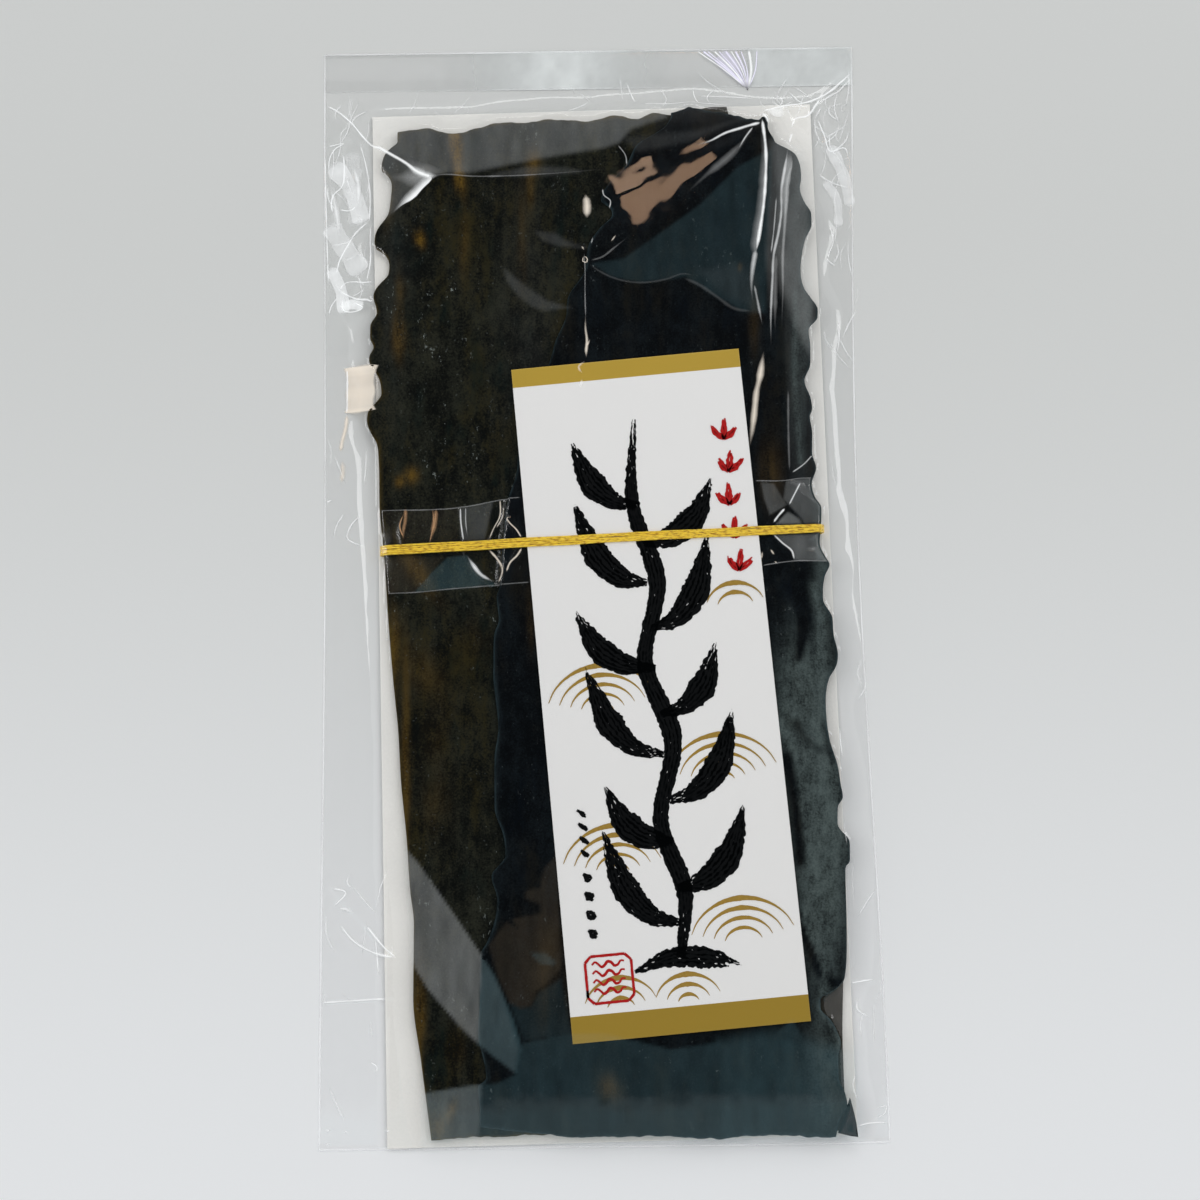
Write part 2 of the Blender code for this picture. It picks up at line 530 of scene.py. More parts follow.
@dataclass(frozen=True)
class PaperFinish:
    """Matt or coated card with faint fibres."""

    name: str
    colour: Colour
    roughness: float
    fibre_mm: float = 0.6

    def material(self) -> bpy.types.Material:
        """Build the material.

        Returns:
            The card material.
        """
        material, shader = new_material(self.name)
        place = shader.place()
        fibres = shader.noise(place, self.fibre_mm, 3.0, 0.6)
        clouds = shader.noise(place, 30.0, 2.0)
        shade = tuple(channel * 0.93 for channel in self.colour)
        colour = shader.mix((fibres * 0.4 + clouds * 0.6).step(0.35, 0.65), shade, self.colour)
        sockets = {
            "Base Color": colour,
            "Roughness": self.roughness + fibres * 0.1,
            "Normal": shader.bump(fibres, 0.02),
        }
        shader.surface(shader.node("ShaderNodeBsdfPrincipled", None, sockets))
        return material


@dataclass(frozen=True)
class LabelFinish:
    """White coated card with a gold band printed across each end; the upper band is painted lighter and the lower
    darker, as lit and shaded copies of one gold.
    """

    white: Colour
    lit_upper_gold: Colour
    shaded_lower_gold: Colour
    upper_band_mm: float
    lower_band_mm: float

    def material(self) -> bpy.types.Material:
        """Build the material.

        Returns:
            The label's material, for a mesh whose own "up" is the label's length.
        """
        material, shader = new_material("label_card")
        place = shader.place()
        up = shader.node("ShaderNodeSeparateXYZ", None, {0: place}, output=1)
        edge = 0.00004
        upper = up.step(self.upper_band_mm * MM - edge, self.upper_band_mm * MM + edge)
        lower = 1.0 - up.step(self.lower_band_mm * MM - edge, self.lower_band_mm * MM + edge)
        grain = shader.noise(place, 0.5, 3.0, 0.7)
        sheen = shader.noise(place, 45.0, 1.0)
        # Painted light: the upper band takes the lighter gold and the lower band the darker, as lit and shaded copies
        # of one gold ink.
        gold = shader.mix(upper, self.shaded_lower_gold, self.lit_upper_gold)
        gold = shader.mix((sheen + grain * 0.3).step(0.4, 0.9) * 0.2, gold, self.shaded_lower_gold)
        white = shader.mix(grain, self.white, tuple(channel * 0.985 for channel in self.white))
        sockets = {
            "Base Color": shader.mix(upper + lower, white, gold),
            "Roughness": 0.42 - (upper + lower) * 0.08,
            "Metallic": (upper + lower) * 0.1,
            "Normal": shader.bump(grain, 0.008),
        }
        shader.surface(shader.node("ShaderNodeBsdfPrincipled", None, sockets))
        return material


@dataclass(frozen=True)
class InkFinish:
    """Printed ink with slightly uneven cover."""

    name: str
    colour: Colour
    roughness: float = 0.45

    def material(self) -> bpy.types.Material:
        """Build the material.

        Returns:
            The ink material.
        """
        material, shader = new_material(self.name)
        cover = shader.noise(shader.place(), 0.7, 3.0, 0.7)
        thin = tuple(channel * 1.25 + 0.002 for channel in self.colour)
        sockets = {
            "Base Color": shader.mix(cover.step(0.4, 0.8), self.colour, thin),
            "Roughness": self.roughness,
            "Specular IOR Level": 0.08,
        }
        shader.surface(shader.node("ShaderNodeBsdfPrincipled", None, sockets))
        return material


@dataclass(frozen=True)
class ElasticFinish:
    """Gold foil thread wound round rubber: bright turns with brown gaps between them."""

    bright: Colour
    gap: Colour

    def material(self) -> bpy.types.Material:
        """Build the material, for a mesh that carries "wind", how far along each strand a point lies in mm.

        Returns:
            The elastic's material.
        """
        material, shader = new_material("gold_elastic")
        turns = shader.mark("wind") * 1.7 + shader.noise(shader.place(), 1.6) * 5.0
        wave = shader.node("ShaderNodeMath", {"operation": "SINE"}, {0: turns})
        worn = shader.noise(shader.stretched(shader.place(), (0.25, 1.0, 1.0)), 0.4, 2.0)
        colour = shader.mix((wave * 0.05 + worn * 1.5).step(0.45, 0.85), self.gap, self.bright)
        sockets = {
            "Base Color": colour,
            "Metallic": 0.0,
            "Roughness": 0.3,
            "Normal": shader.bump(wave * 0.2 + worn, 0.04),
        }
        shader.surface(shader.node("ShaderNodeBsdfPrincipled", None, sockets))
        return material


class Tint(Enum):
    """Colours of the painted sheen and reflections that the film's veils lay on it as diffuse whitening."""

    PLAIN = (0.86, 0.89, 0.88)
    COOL = (0.36, 0.70, 0.80)
    WARM = (0.72, 0.56, 0.38)

    @property
    def mark(self) -> str:
        """Name of the mark that says how strong this tint is on a film's mesh."""
        return f"haze_{self.name.lower()}"


@dataclass(frozen=True)
class FilmFinish:
    """Clear plastic film: it mirrors a little of the room and lets the rest through."""

    name: str
    mirror: float
    roughness: float
    tint: float
    ripple_mm: float = 0.0
    has_painted_sheen: bool = False

    def material(self) -> bpy.types.Material:
        """Build the material. A film with painted sheen is whitened as strongly as its mesh's marks say, tint by tint.

        Returns:
            The film material.
        """
        material, shader = new_material(self.name)
        mirror = {"Color": (1.0, 1.0, 1.0), "Roughness": self.roughness}
        if self.ripple_mm:
            place = shader.place()
            ripples = shader.noise(shader.stretched(place, (1.0, 0.3, 1.0)), 12.0, 0.0)
            mirror["Normal"] = shader.bump(ripples, self.ripple_mm)
        clear = shader.node("ShaderNodeBsdfTransparent", None, {"Color": (self.tint, self.tint, self.tint)})
        gloss = shader.node("ShaderNodeBsdfGlossy", None, mirror)
        slant = shader.node("ShaderNodeLayerWeight", None, {"Blend": 0.5}, output="Facing")
        share = self.mirror + slant**5.0 * 0.5
        film = shader.node("ShaderNodeMixShader", None, {0: share, 1: clear, 2: gloss})
        if self.has_painted_sheen:
            # Painted sheen: diffuse whitening in each tint, mixed in as strongly as the mesh's marks say.
            for tint in Tint:
                veil = shader.node("ShaderNodeBsdfDiffuse", None, {"Color": tint.value})
                film = shader.node("ShaderNodeMixShader", None, {0: shader.mark(tint.mark), 1: film, 2: veil})
        shader.surface(film)
        return material


@dataclass(frozen=True)
class GlintAndWhiteningFinish:
    """Painted glints and sheen on the film, partly the real whitening of a crease, lit with a slight painted glow, as
    strongly as its mesh's mark says.
    """

    name: str
    colour: Colour
    glow: float = 0.0

    def material(self) -> bpy.types.Material:
        """Build the material.

        Returns:
            The haze material.
        """
        material, shader = new_material(self.name)
        clear = shader.node("ShaderNodeBsdfTransparent")
        sockets = {
            "Base Color": self.colour,
            "Roughness": 0.6,
            "Specular IOR Level": 0.2,
            # Painted glow: the whitened film gives off light of its own.
            "Emission Color": self.colour,
            "Emission Strength": self.glow,
        }
        white = shader.node("ShaderNodeBsdfPrincipled", None, sockets)
        shader.surface(shader.node("ShaderNodeMixShader", None, {0: shader.mark("haze"), 1: clear, 2: white}))
        return material


# ---------------------------------------------------------------------------------------------------
# Where things lie in the pouch
# ---------------------------------------------------------------------------------------------------


@dataclass(frozen=True)
class Layers:
    """Heights above the floor of what lies in the pouch, in mm."""

    back_film: float = 0.06
    hem: float = 0.3
    card_under: float = 0.95
    card_top: float = 1.4
    spare_top: float = 2.9
    olive_top: float = 4.35
    dark_top: float = 6.0
    label_under: float = 6.4
    label_top: float = 6.75
    strand: float = 0.33
    clearance: float = 0.12


LAYERS = Layers()

POUCH_HALF_WIDTH = 84.75
POUCH_HALF_LENGTH = 170.0

OLIVE_LEFT = SideLine((
    (143, -61), (141.5, -63.5), (137.5, -65.5), (132, -66), (129, -64), (125, -62.8), (120, -63.2),
    (115.5, -64), (110, -67.5), (107, -68.2), (105, -67.8), (103, -65), (99, -63.6), (96, -64),
    (92.5, -67), (89.5, -68.5), (84, -67.4), (79.5, -69.5), (76, -69.5), (73, -68.4), (69.5, -69.8),
    (67, -69.3), (64, -67.1), (58, -66), (55.5, -67.5), (52, -70.2), (49.5, -70.4), (46, -69.3),
    (42.5, -67.4), (37, -66.8), (21, -66.4), (6, -65), (-12.5, -63.8), (-32, -62.2), (-46, -60.8),
    (-62, -59.9), (-78, -58.3), (-94, -57.2), (-104, -56.1), (-126, -56.3), (-144, -54), (-167, -51),
))
OLIVE_RIGHT = SideLine(((146, 40), (120, 52), (60, 58), (-30, 60), (-167, 58)))
OLIVE_TOP = SideLine((
    (-66, 140), (-61, 142.3), (-56, 143), (-51, 143.5), (-47, 142.2), (-43, 141.7), (-36, 143.3),
    (-28, 145), (-20, 144.9), (-12, 146), (-3, 145.2), (3, 145.7), (8, 146.8), (14.5, 145.7),
    (20, 147.4), (27, 146.6), (60, 146),
))
OLIVE_BOTTOM = SideLine(((-70, -167), (-51, -166.9), (-45, -166.4), (-30, -165.9), (60, -164)))
DARK_LEFT = SideLine((
    (147, 25.5), (144, 23.5), (137.5, 14.5), (133.5, 12.6), (130.5, 11.4), (126, 7.6), (123.5, 5.3),
    (118.5, 3.1), (116, 6), (114, 6.5), (109.5, 2.5), (105, -0.6), (95.5, -2.5), (86.5, -7.9),
    (82, -8.2), (73.5, -11.7), (65.5, -14.1), (55, -19.5), (45.5, -23), (31.5, -24.3), (25, -26.5),
    (11.5, -28.4), (-3.5, -29.7), (-6, -30.5), (-13, -29.9), (-18, -31.4), (-29.5, -31.7),
    (-46, -30.3), (-55, -31.5), (-69.5, -31.6), (-78.5, -28.9), (-84, -28.4), (-90, -32.6),
    (-97, -31), (-102.5, -31.6), (-109, -33.9), (-113.5, -36.2), (-127, -36.3), (-135, -36.9),
    (-147, -34.7), (-149, -34.5), (-152.5, -37), (-163, -36.5), (-167, -36.6),
))
DARK_RIGHT = SideLine((
    (144.5, 56), (142, 57.4), (138.5, 58.7), (136, 61.7), (134, 63.8), (130, 65.5), (125, 66),
    (121.5, 65.5), (117, 66.8), (113, 68.8), (110, 68.8), (105, 66.7), (100.5, 65.6), (95, 65),
    (89, 66.1), (85.5, 68.3), (82.5, 69.9), (80, 69.8), (76, 66.9), (71, 67.3), (65, 67.1),
    (60, 65.2), (54, 67), (51, 67.3), (48.5, 66.5), (43.5, 67.1), (37, 66.9), (32.5, 68),
    (27.5, 66.5), (23.5, 67.3), (20, 69.2), (15, 69), (9, 68.4), (5, 69.9), (2.5, 71.2), (-1, 69.7),
    (-8, 68.9), (-14, 71.6), (-19, 71.8), (-25, 72.9), (-29, 72.1), (-32, 70.2), (-40.5, 68.8),
    (-51, 69.7), (-58.5, 71.8), (-64.5, 72.6), (-68, 73.1), (-71, 71.5), (-76, 71.3), (-81.5, 74.7),
    (-87, 74.6), (-89, 73.2), (-107, 73), (-119, 72.3), (-122.5, 71.3), (-125, 68.5), (-127.5, 64.6),
    (-130, 64.6), (-133.5, 67.6), (-137, 69.4), (-140, 70.3), (-144, 69.3), (-150, 69.3),
    (-155, 71.2), (-158.5, 71.6), (-161, 69.8), (-167, 68),
))
DARK_TOP = SideLine((
    (18, 146), (25.5, 146.9), (31.5, 148.5), (37, 147.3), (44, 146), (53, 144.2), (54.5, 145.3), (57, 144),
))
DARK_BOTTOM = SideLine((
    (-37, -162.6), (-22, -164.6), (-7, -166.1), (13, -166), (34, -167), (45, -166.3), (68, -167.1),
))
SPARE_LEFT = SideLine(((150, -50), (-167, -44)))
SPARE_RIGHT = SideLine((
    (150, 52), (60, 58), (-60, 64), (-86, 71.5), (-90, 73), (-107, 73), (-125, 71.8), (-140, 71.2),
    (-155, 71.3), (-164, 72.5), (-167, 73),
))
SPARE_TOP = SideLine(((-60, 138), (30, 142), (32.8, 148.5), (43.8, 150), (44.6, 143), (66, 138)))
SPARE_BOTTOM = SideLine(((-60, -164), (70, -166), (75, -166.5)))


def pouch_left(up: np.ndarray) -> np.ndarray:
    """The pouch's left side at each place up it."""
    return -POUCH_HALF_WIDTH + 0.8 * np.cos(np.pi * up / (2 * POUCH_HALF_LENGTH)) ** 2


def pouch_right(up: np.ndarray) -> np.ndarray:
    """The pouch's right side at each place up it, drawn in beside the thick contents."""
    waist = 25.0
    return POUCH_HALF_WIDTH - 3.6 * np.cos(np.pi * (up - waist) / (2 * (POUCH_HALF_LENGTH + waist))) ** 2


def path_distance(right: np.ndarray, up: np.ndarray, path: Sequence[tuple[float, float]]) -> np.ndarray:
    """Distance from each place to the nearest point of a bent line.

    Args:
        right: Distances to the right.
        up: Distances up the pouch.
        path: The line's corners.

    Returns:
        The distances, in mm.
    """
    nearest = np.full(np.broadcast(right, up).shape, np.inf)
    for (x0, y0), (x1, y1) in zip(path, path[1:]):
        run = max((x1 - x0) ** 2 + (y1 - y0) ** 2, 1e-9)
        reach = np.clip(((right - x0) * (x1 - x0) + (up - y0) * (y1 - y0)) / run, 0.0, 1.0)
        nearest = np.minimum(nearest, np.hypot(right - x0 - reach * (x1 - x0), up - y0 - reach * (y1 - y0)))
    return nearest


def is_inside(right: np.ndarray, up: np.ndarray, outline: Sequence[tuple[float, float]]) -> np.ndarray:
    """Whether each place lies inside a closed outline.

    Args:
        right: Distances to the right.
        up: Distances up the pouch.
        outline: The outline's corners, in order.

    Returns:
        True for each place inside.
    """
    inside = np.zeros(np.broadcast(right, up).shape, dtype=bool)
    for (x0, y0), (x1, y1) in zip(outline, [*outline[1:], outline[0]]):
        crosses = (y0 > up) != (y1 > up)
        slope = (x1 - x0) / (y1 - y0 if y1 != y0 else 1e-9)
        inside ^= crosses & (right < x0 + (up - y0) * slope)
    return inside


@dataclass(frozen=True)
class Fold:
    """A raised or sunk line in a sheet or in the film."""

    path: tuple[tuple[float, float], ...]
    width: float
    rise: float

    def at(self, right: np.ndarray, up: np.ndarray) -> np.ndarray:
        """How far the fold lifts each place."""
        return self.rise * bell(path_distance(right, up, self.path), self.width)


@dataclass(frozen=True)
class Patch:
    """A soft oval patch, leaning by an angle from the pouch's length."""

    right: float
    up: float
    half_width: float
    half_length: float
    strength: float
    lean: float = 0.0

    def at(self, right: np.ndarray, up: np.ndarray) -> np.ndarray:
        """How strong the patch is at each place."""
        turn = math.radians(self.lean)
        aside = (right - self.right) * math.cos(turn) + (up - self.up) * math.sin(turn)
        along = (up - self.up) * math.cos(turn) - (right - self.right) * math.sin(turn)
        return self.strength * np.exp(-((aside / self.half_width) ** 2) - (along / self.half_length) ** 2)


# ---------------------------------------------------------------------------------------------------
# Kelp sheets
# ---------------------------------------------------------------------------------------------------


@dataclass(frozen=True)
class KelpSheet:
    """One dried kelp sheet, with ruffled sides, roughly cut ends and a wavy, wrinkled face."""

    name: str
    slot: str
    finish: KelpFinish
    left: SideLine
    right: SideLine
    top: SideLine
    bottom: SideLine
    under: float
    over: float
    pitch: float
    seed: int
    wave: float = 0.18
    ruffle: float = 0.16
    folds: tuple[Fold, ...] = ()
    warm: tuple[Patch, ...] = ()
    bloom: tuple[Patch | Fold, ...] = ()
    rim: float = 0.5
    lip: tuple[float, ...] = (0.0, 0.06, 0.28, 0.8)
    lip_drop: tuple[float, ...] = (1.0, 0.55, 0.16, 0.03)

    def inset(self, right: np.ndarray, up: np.ndarray) -> np.ndarray:
        """How far each place lies inside the sheet's outline, in mm, below 0 outside it."""
        sides = np.minimum(right - self.left.at(up), self.right.at(up) - right)
        return np.minimum(sides, np.minimum(self.top.at(right) - up, up - self.bottom.at(right)))

    def height(self, right: np.ndarray, up: np.ndarray) -> np.ndarray:
        """Height of the sheet's upper face, without its rounded lip.

        Args:
            right: Distances to the right.
            up: Distances up the pouch.

        Returns:
            Heights, in mm.
        """
        swell = SmoothField(self.seed, 13.0, 46.0, 2).at(right, up)
        wrinkle = SmoothField(self.seed + 7, 3.4, 11.0, 3).at(right, up)
        height = self.over + self.wave * swell + 0.045 * wrinkle
        for line, outward in ((self.left, -1.0), (self.right, 1.0)):
            spans = (-12.0, -6.0, 0.0, 6.0, 12.0)
            average = sum(line.at(up + span) for span in spans) / len(spans)
            lobes = (line.at(up) - average) * outward
            height = height + self.ruffle * lobes * bell(right - line.at(up), 8.0)
        for fold in self.folds:
            height = height + fold.at(right, up)
        return height

    def surface(self) -> Surface:
        """The sheet's face and rounded lip, on a grid that follows its outline.

        Returns:
            The surface with its warm, rim and salt marks.
        """
        low, high = self.bottom.offset.min(), self.top.offset.max()
        lip = np.array(self.lip)
        rows = np.concatenate([
            low + lip,
            np.linspace(low + lip[-1], high - lip[-1], int((high - low) / self.pitch))[1:-1],
            high - lip[::-1],
        ])
        width = float(np.mean(self.right.at(rows) - self.left.at(rows)))
        across = np.linspace(0.0, 1.0, int(width / self.pitch))[1:-1]
        left = self.left.at(rows)[:, None]
        right = self.right.at(rows)[:, None]
        inner = (right - left - 2 * lip[-1]) * across[None, :]
        places = np.concatenate([left + lip[None, :], left + lip[-1] + inner, right - lip[::-1][None, :]], axis=1)
        up = np.repeat(rows[:, None], places.shape[1], axis=1)
        near_top = ease(1.0 - (high - up) / 22.0)
        near_bottom = ease(1.0 - (up - low) / 22.0)
        ragged = SmoothField(self.seed + 3, 2.6, 9.0, 2).at(places, up) * 0.3
        shifted = up + (self.top.at(places) - high) * near_top + (self.bottom.at(places) - low) * near_bottom
        shifted = shifted + ragged * (ease(1.0 - (high - up) / 4.0) + ease(1.0 - (up - low) / 4.0))
        aside = np.minimum(places - left, right - places)
        depth = np.minimum(aside, np.minimum(up - low, high - up))
        drop = np.interp(depth, self.lip, self.lip_drop) * (depth < lip[-1] + 0.01)
        height = self.height(places, shifted)
        height = height - drop * (height - self.under)
        marks = self.marks(places, shifted, depth)
        return Surface.from_grid(places, shifted, height, **marks)

    def marks(self, right: np.ndarray, up: np.ndarray, depth: np.ndarray) -> dict[str, np.ndarray]:
        """Values that the finish reads: warm thin places, the pale rim, where salt shows, and the bloom with its
        painted sheen.

        Args:
            right: Distances to the right.
            up: Distances up the pouch.
            depth: How far each place lies inside the outline.

        Returns:
            The marks by name.
        """
        patches = SmoothField(self.seed + 11, 6.0, 22.0, 2).at(right, up)
        warm = sum((patch.at(right, up) for patch in self.warm), np.zeros_like(right))
        warm = np.clip(warm * (1.0 + 0.6 * patches), 0.0, 1.0)
        rim = self.rim * bell(depth, 0.55 + 0.3 * patches)
        salt = ease(0.5 + 0.9 * SmoothField(self.seed + 13, 15.0, 45.0).at(right, up)) * ease(depth / 3.0)
        bloom = sum((patch.at(right, up) for patch in self.bloom), np.zeros_like(right))
        return {"warm": warm, "rim": rim, "salt": salt, "bloom": np.clip(bloom, 0.0, 1.0)}

    def build(self) -> bpy.types.Object:
        """Make the sheet's piece."""
        return self.surface().piece(self.name, self.finish.material(), self.slot)


def make_sheets() -> tuple[KelpSheet, KelpSheet, KelpSheet]:
    """Describe the three kelp sheets.

    Returns:
        The spare sheet below, the olive sheet and the dark sheet.
    """
    olive_finish = KelpFinish(
        "kelp_olive",
        deep=(0.0018, 0.0022, 0.0014),
        cloudy=(0.024, 0.025, 0.0165),
        brown=(0.024, 0.0195, 0.0058),
        warm=(0.19, 0.105, 0.012),
        rim=(0.13, 0.085, 0.012),
        bloom=(0.04, 0.042, 0.040),
        cool=(0.0025, 0.0085, 0.0072),
        roughness=0.55,
    )
    dark_finish = KelpFinish(
        "kelp_dark",
        deep=(0.0004, 0.0008, 0.0014),
        cloudy=(0.0065, 0.0100, 0.0125),
        brown=(0.0085, 0.0075, 0.0050),
        warm=(0.10, 0.060, 0.015),
        rim=(0.045, 0.075, 0.085),
        bloom=(0.096, 0.124, 0.120),
        cool=(0.0010, 0.0030, 0.0060),
        salt=(0.12, 0.14, 0.14),
        roughness=0.5,
    )
    spare_finish = KelpFinish(
        "kelp_spare",
        deep=(0.03, 0.028, 0.022),
        cloudy=(0.06, 0.055, 0.042),
        brown=(0.05, 0.04, 0.028),
        warm=(0.10, 0.07, 0.03),
        rim=(0.02, 0.017, 0.012),
        bloom=(0.08, 0.08, 0.075),
        cool=(0.03, 0.032, 0.028),
        roughness=0.55,
    )
    spare = KelpSheet(
        "kelp_spare", "kelp_olive", spare_finish, SPARE_LEFT, SPARE_RIGHT, SPARE_TOP, SPARE_BOTTOM,
        under=LAYERS.card_top + 0.05, over=LAYERS.spare_top, pitch=1.7, seed=31, wave=0.05, ruffle=0.0,
    )
    olive = KelpSheet(
        "kelp_olive", "kelp_olive", olive_finish, OLIVE_LEFT, OLIVE_RIGHT, OLIVE_TOP, OLIVE_BOTTOM,
        under=LAYERS.card_top + 0.3, over=LAYERS.olive_top, pitch=0.95, seed=52, wave=0.12,
        folds=(
            Fold(((-44, 142), (-41, 128), (-38, 112)), 2.2, 0.22),
            Fold(((-62, 60), (-60, 20), (-57, -40), (-53, -90)), 2.6, 0.2),
            Fold(((-28, 60), (-33, 0), (-36, -60)), 2.5, 0.15),
        ),
        warm=(
            Patch(-42.5, 137, 1.5, 7, 2.2, 7), Patch(-41.2, 127, 1.4, 5, 1.3, 5), Patch(-40, 106, 1.4, 10, 0.25),
            Patch(-53.6, 107, 1.4, 2.4, 2.0, 15), Patch(-60.3, 76, 1.6, 6, 0.75), Patch(-60, 90, 1.2, 8, 0.3),
            Patch(-22, 108, 1.4, 14, 0.25), Patch(-19, 124, 1.2, 8, 0.3), Patch(-18, 132, 2.2, 4, 0.35),
            Patch(-63, 118, 1.4, 8, 0.35, -10), Patch(-56.5, 32, 2.0, 2.4, 0.6), Patch(-60, 30, 1.3, 1.6, 0.4),
            Patch(-27.5, 1, 0.9, 8, 0.9), Patch(-61.8, -24, 1.6, 14, 0.45), Patch(-52, -30, 5, 9, 0.12, 30),
            Patch(-38, -20, 4, 6, 0.1), Patch(-50, -48, 4, 8, 0.1), Patch(-58.3, -55, 1.2, 26, 0.5),
            Patch(-56, 4, 2.5, 10, 0.3, 35), Patch(-49, -70, 4, 10, 0.1), Patch(-54.2, -128, 1.6, 14, 0.45),
            Patch(-44, -139, 3, 6, 0.1), Patch(-49, -162, 4, 4, 0.45), Patch(-45, -158, 1.2, 3, 0.5, -20),
            Patch(-36, 144.8, 10, 1.0, 0.5), Patch(-6, 146.4, 20, 0.9, 0.55),
        ),
        bloom=(Patch(-62, 100, 5, 40, 0.35), Patch(-20, 80, 9, 40, 0.35)),
        rim=0.75,
    )
    dark = KelpSheet(
        "kelp_dark", "kelp_dark", dark_finish, DARK_LEFT, DARK_RIGHT, DARK_TOP, DARK_BOTTOM,
        under=LAYERS.olive_top + 0.12, over=LAYERS.dark_top, pitch=0.78, seed=77, wave=0.16, ruffle=0.2,
        folds=(
            Fold(((60, 132), (58, 108), (55, 80), (54, 45)), 2.4, 0.25),
            Fold(((57, -2), (59, -40), (61, -75), (63, -96)), 2.2, 0.3),
            Fold(((54.2, -45.6), (58.6, -53.8), (61.9, -58.4), (65.3, -60.8), (70.5, -59.7)), 1.5, 0.3),
            Fold(((60, -45.7), (61.6, -49.2), (63.8, -52.1), (66.1, -53.9)), 1.6, -0.3),
            Fold(((63.7, -96), (61, -99.4), (60.1, -103.9), (61.6, -108.4), (64.6, -113.5)), 0.9, 0.25),
            Fold(((66, -30), (66, -58), (69, -78)), 2.0, 0.25),
            Fold(((65.5, -95), (61.2, -103), (64, -113), (67, -121), (72, -124)), 1.4, 0.3),
            Fold(((24, 143), (0, 108), (-10, 72)), 1.8, 0.15),
        ),
        warm=(
            Patch(46, 96, 0.6, 1.2, 0.6), Patch(50, 80, 1.6, 10, 0.35), Patch(54, 30, 3.5, 10, 0.3),
            Patch(-20, -12, 1.2, 9, 0.35), Patch(-12, -118, 8, 14, 0.25), Patch(2, -152, 3, 4, 0.4, 20),
        ),
        # Painted sheen on the dark sheet's ruffled right side: lighter along the raised folds and cut back along the
        # sunk ones.
        bloom=(
            Patch(66, -64, 8.5, 24, 1.5), Patch(62, -36, 7, 16, 1.3), Patch(69, 10, 2.6, 32, 0.7),
            Patch(66, 85, 4.5, 45, 0.5), Patch(66, -98, 6.5, 20, 1.1), Patch(66, -140, 6, 22, 0.5),
            Fold(((54.2, -45.6), (58.6, -53.8), (61.9, -58.4), (65.3, -60.8), (70.5, -59.7)), 1.3, 0.7),
            Fold(((56.6, -41), (61.2, -42.3), (67, -41.2), (69.8, -45.9)), 1.2, 0.6),
            Fold(((59.7, -54.9), (60.7, -61.8), (61.7, -73.3), (62.5, -87)), 0.7, 0.5),
            Fold(((61.3, -60.7), (62.8, -66.5), (63.7, -76.7), (63.4, -88.1)), 0.8, 0.5),
            Fold(((63.7, -96), (61, -99.4), (60.1, -103.9), (61.6, -108.4), (64.6, -113.5)), 0.7, 1.4),
            Fold(((62.4, -100.5), (62, -105), (63.9, -110.1)), 0.5, 1.0),
            Fold(((64.4, -111.8), (66.3, -123), (64.4, -129.6), (67.1, -133.6), (69.6, -138.6), (72.7, -156.3)), 0.8, 1.2),
            Fold(((60, -45.7), (61.6, -49.2), (63.8, -52.1), (66.1, -53.9)), 2.0, -1.2),
            Fold(((56.8, -56), (58.3, -65.2), (59.2, -73.3), (60, -86.9)), 1.8, -0.8),
            Fold(((66.5, -40), (68.5, -49.3), (70, -58)), 1.3, -0.9),
            Fold(((60.1, -102.7), (61, -109.5), (63.7, -117.4), (66.9, -122.4), (72, -123.3)), 1.3, -1.0),
            Fold(((70.5, 90), (67, 60), (66.5, 30)), 1.2, -0.8), Fold(((63, 88), (62, 60), (63, 34)), 0.9, 0.6),
            Fold(((60, -2), (63, -14), (61, -26)), 1.5, -0.9), Fold(((66, -4), (68, -16), (67, -30)), 1.4, 0.7),
        ),
        rim=0.75,
    )
    return spare, olive, dark


@dataclass(frozen=True)
class CornerTip:
    """The dark sheet's lower right corner, bent over so that its near-black back shows."""

    corners: tuple[tuple[float, float], ...] = (
        (72.4, -155.8), (73.2, -159), (74, -163), (74.4, -167), (71.8, -166.6), (68.6, -165.8), (70.4, -161.5),
    )
    height: float = 6.2

    def build(self, finish: KelpFinish) -> bpy.types.Object:
        """Make the tip as a fan of faces round its middle, with a turned-down edge.

        Args:
            finish: The dark sheet's finish.

        Returns:
            The tip's piece.
        """
        rim = np.array(self.corners)
        middle = rim.mean(axis=0)
        rings = [(1.0, LAYERS.dark_top - 1.4), (0.97, self.height - 0.15), (0.7, self.height + 0.15), (0.0, self.height + 0.3)]
        points = np.concatenate([
            np.column_stack([middle + (rim - middle) * scale, np.full(len(rim), height)]) for scale, height in rings
        ])
        count = len(rim)
        order = np.arange(count)
        following = (order + 1) % count
        faces = np.concatenate([
            np.column_stack([order, following, following + count, order + count]) + ring * count
            for ring in range(len(rings) - 1)
        ])
        zero = np.zeros(len(points))
        surface = Surface(points, faces, {"warm": zero, "rim": zero, "salt": zero, "bloom": zero})
        return surface.piece("kelp_corner", finish.material(), "kelp_dark")


# ---------------------------------------------------------------------------------------------------
# Card, label and its print
# ---------------------------------------------------------------------------------------------------


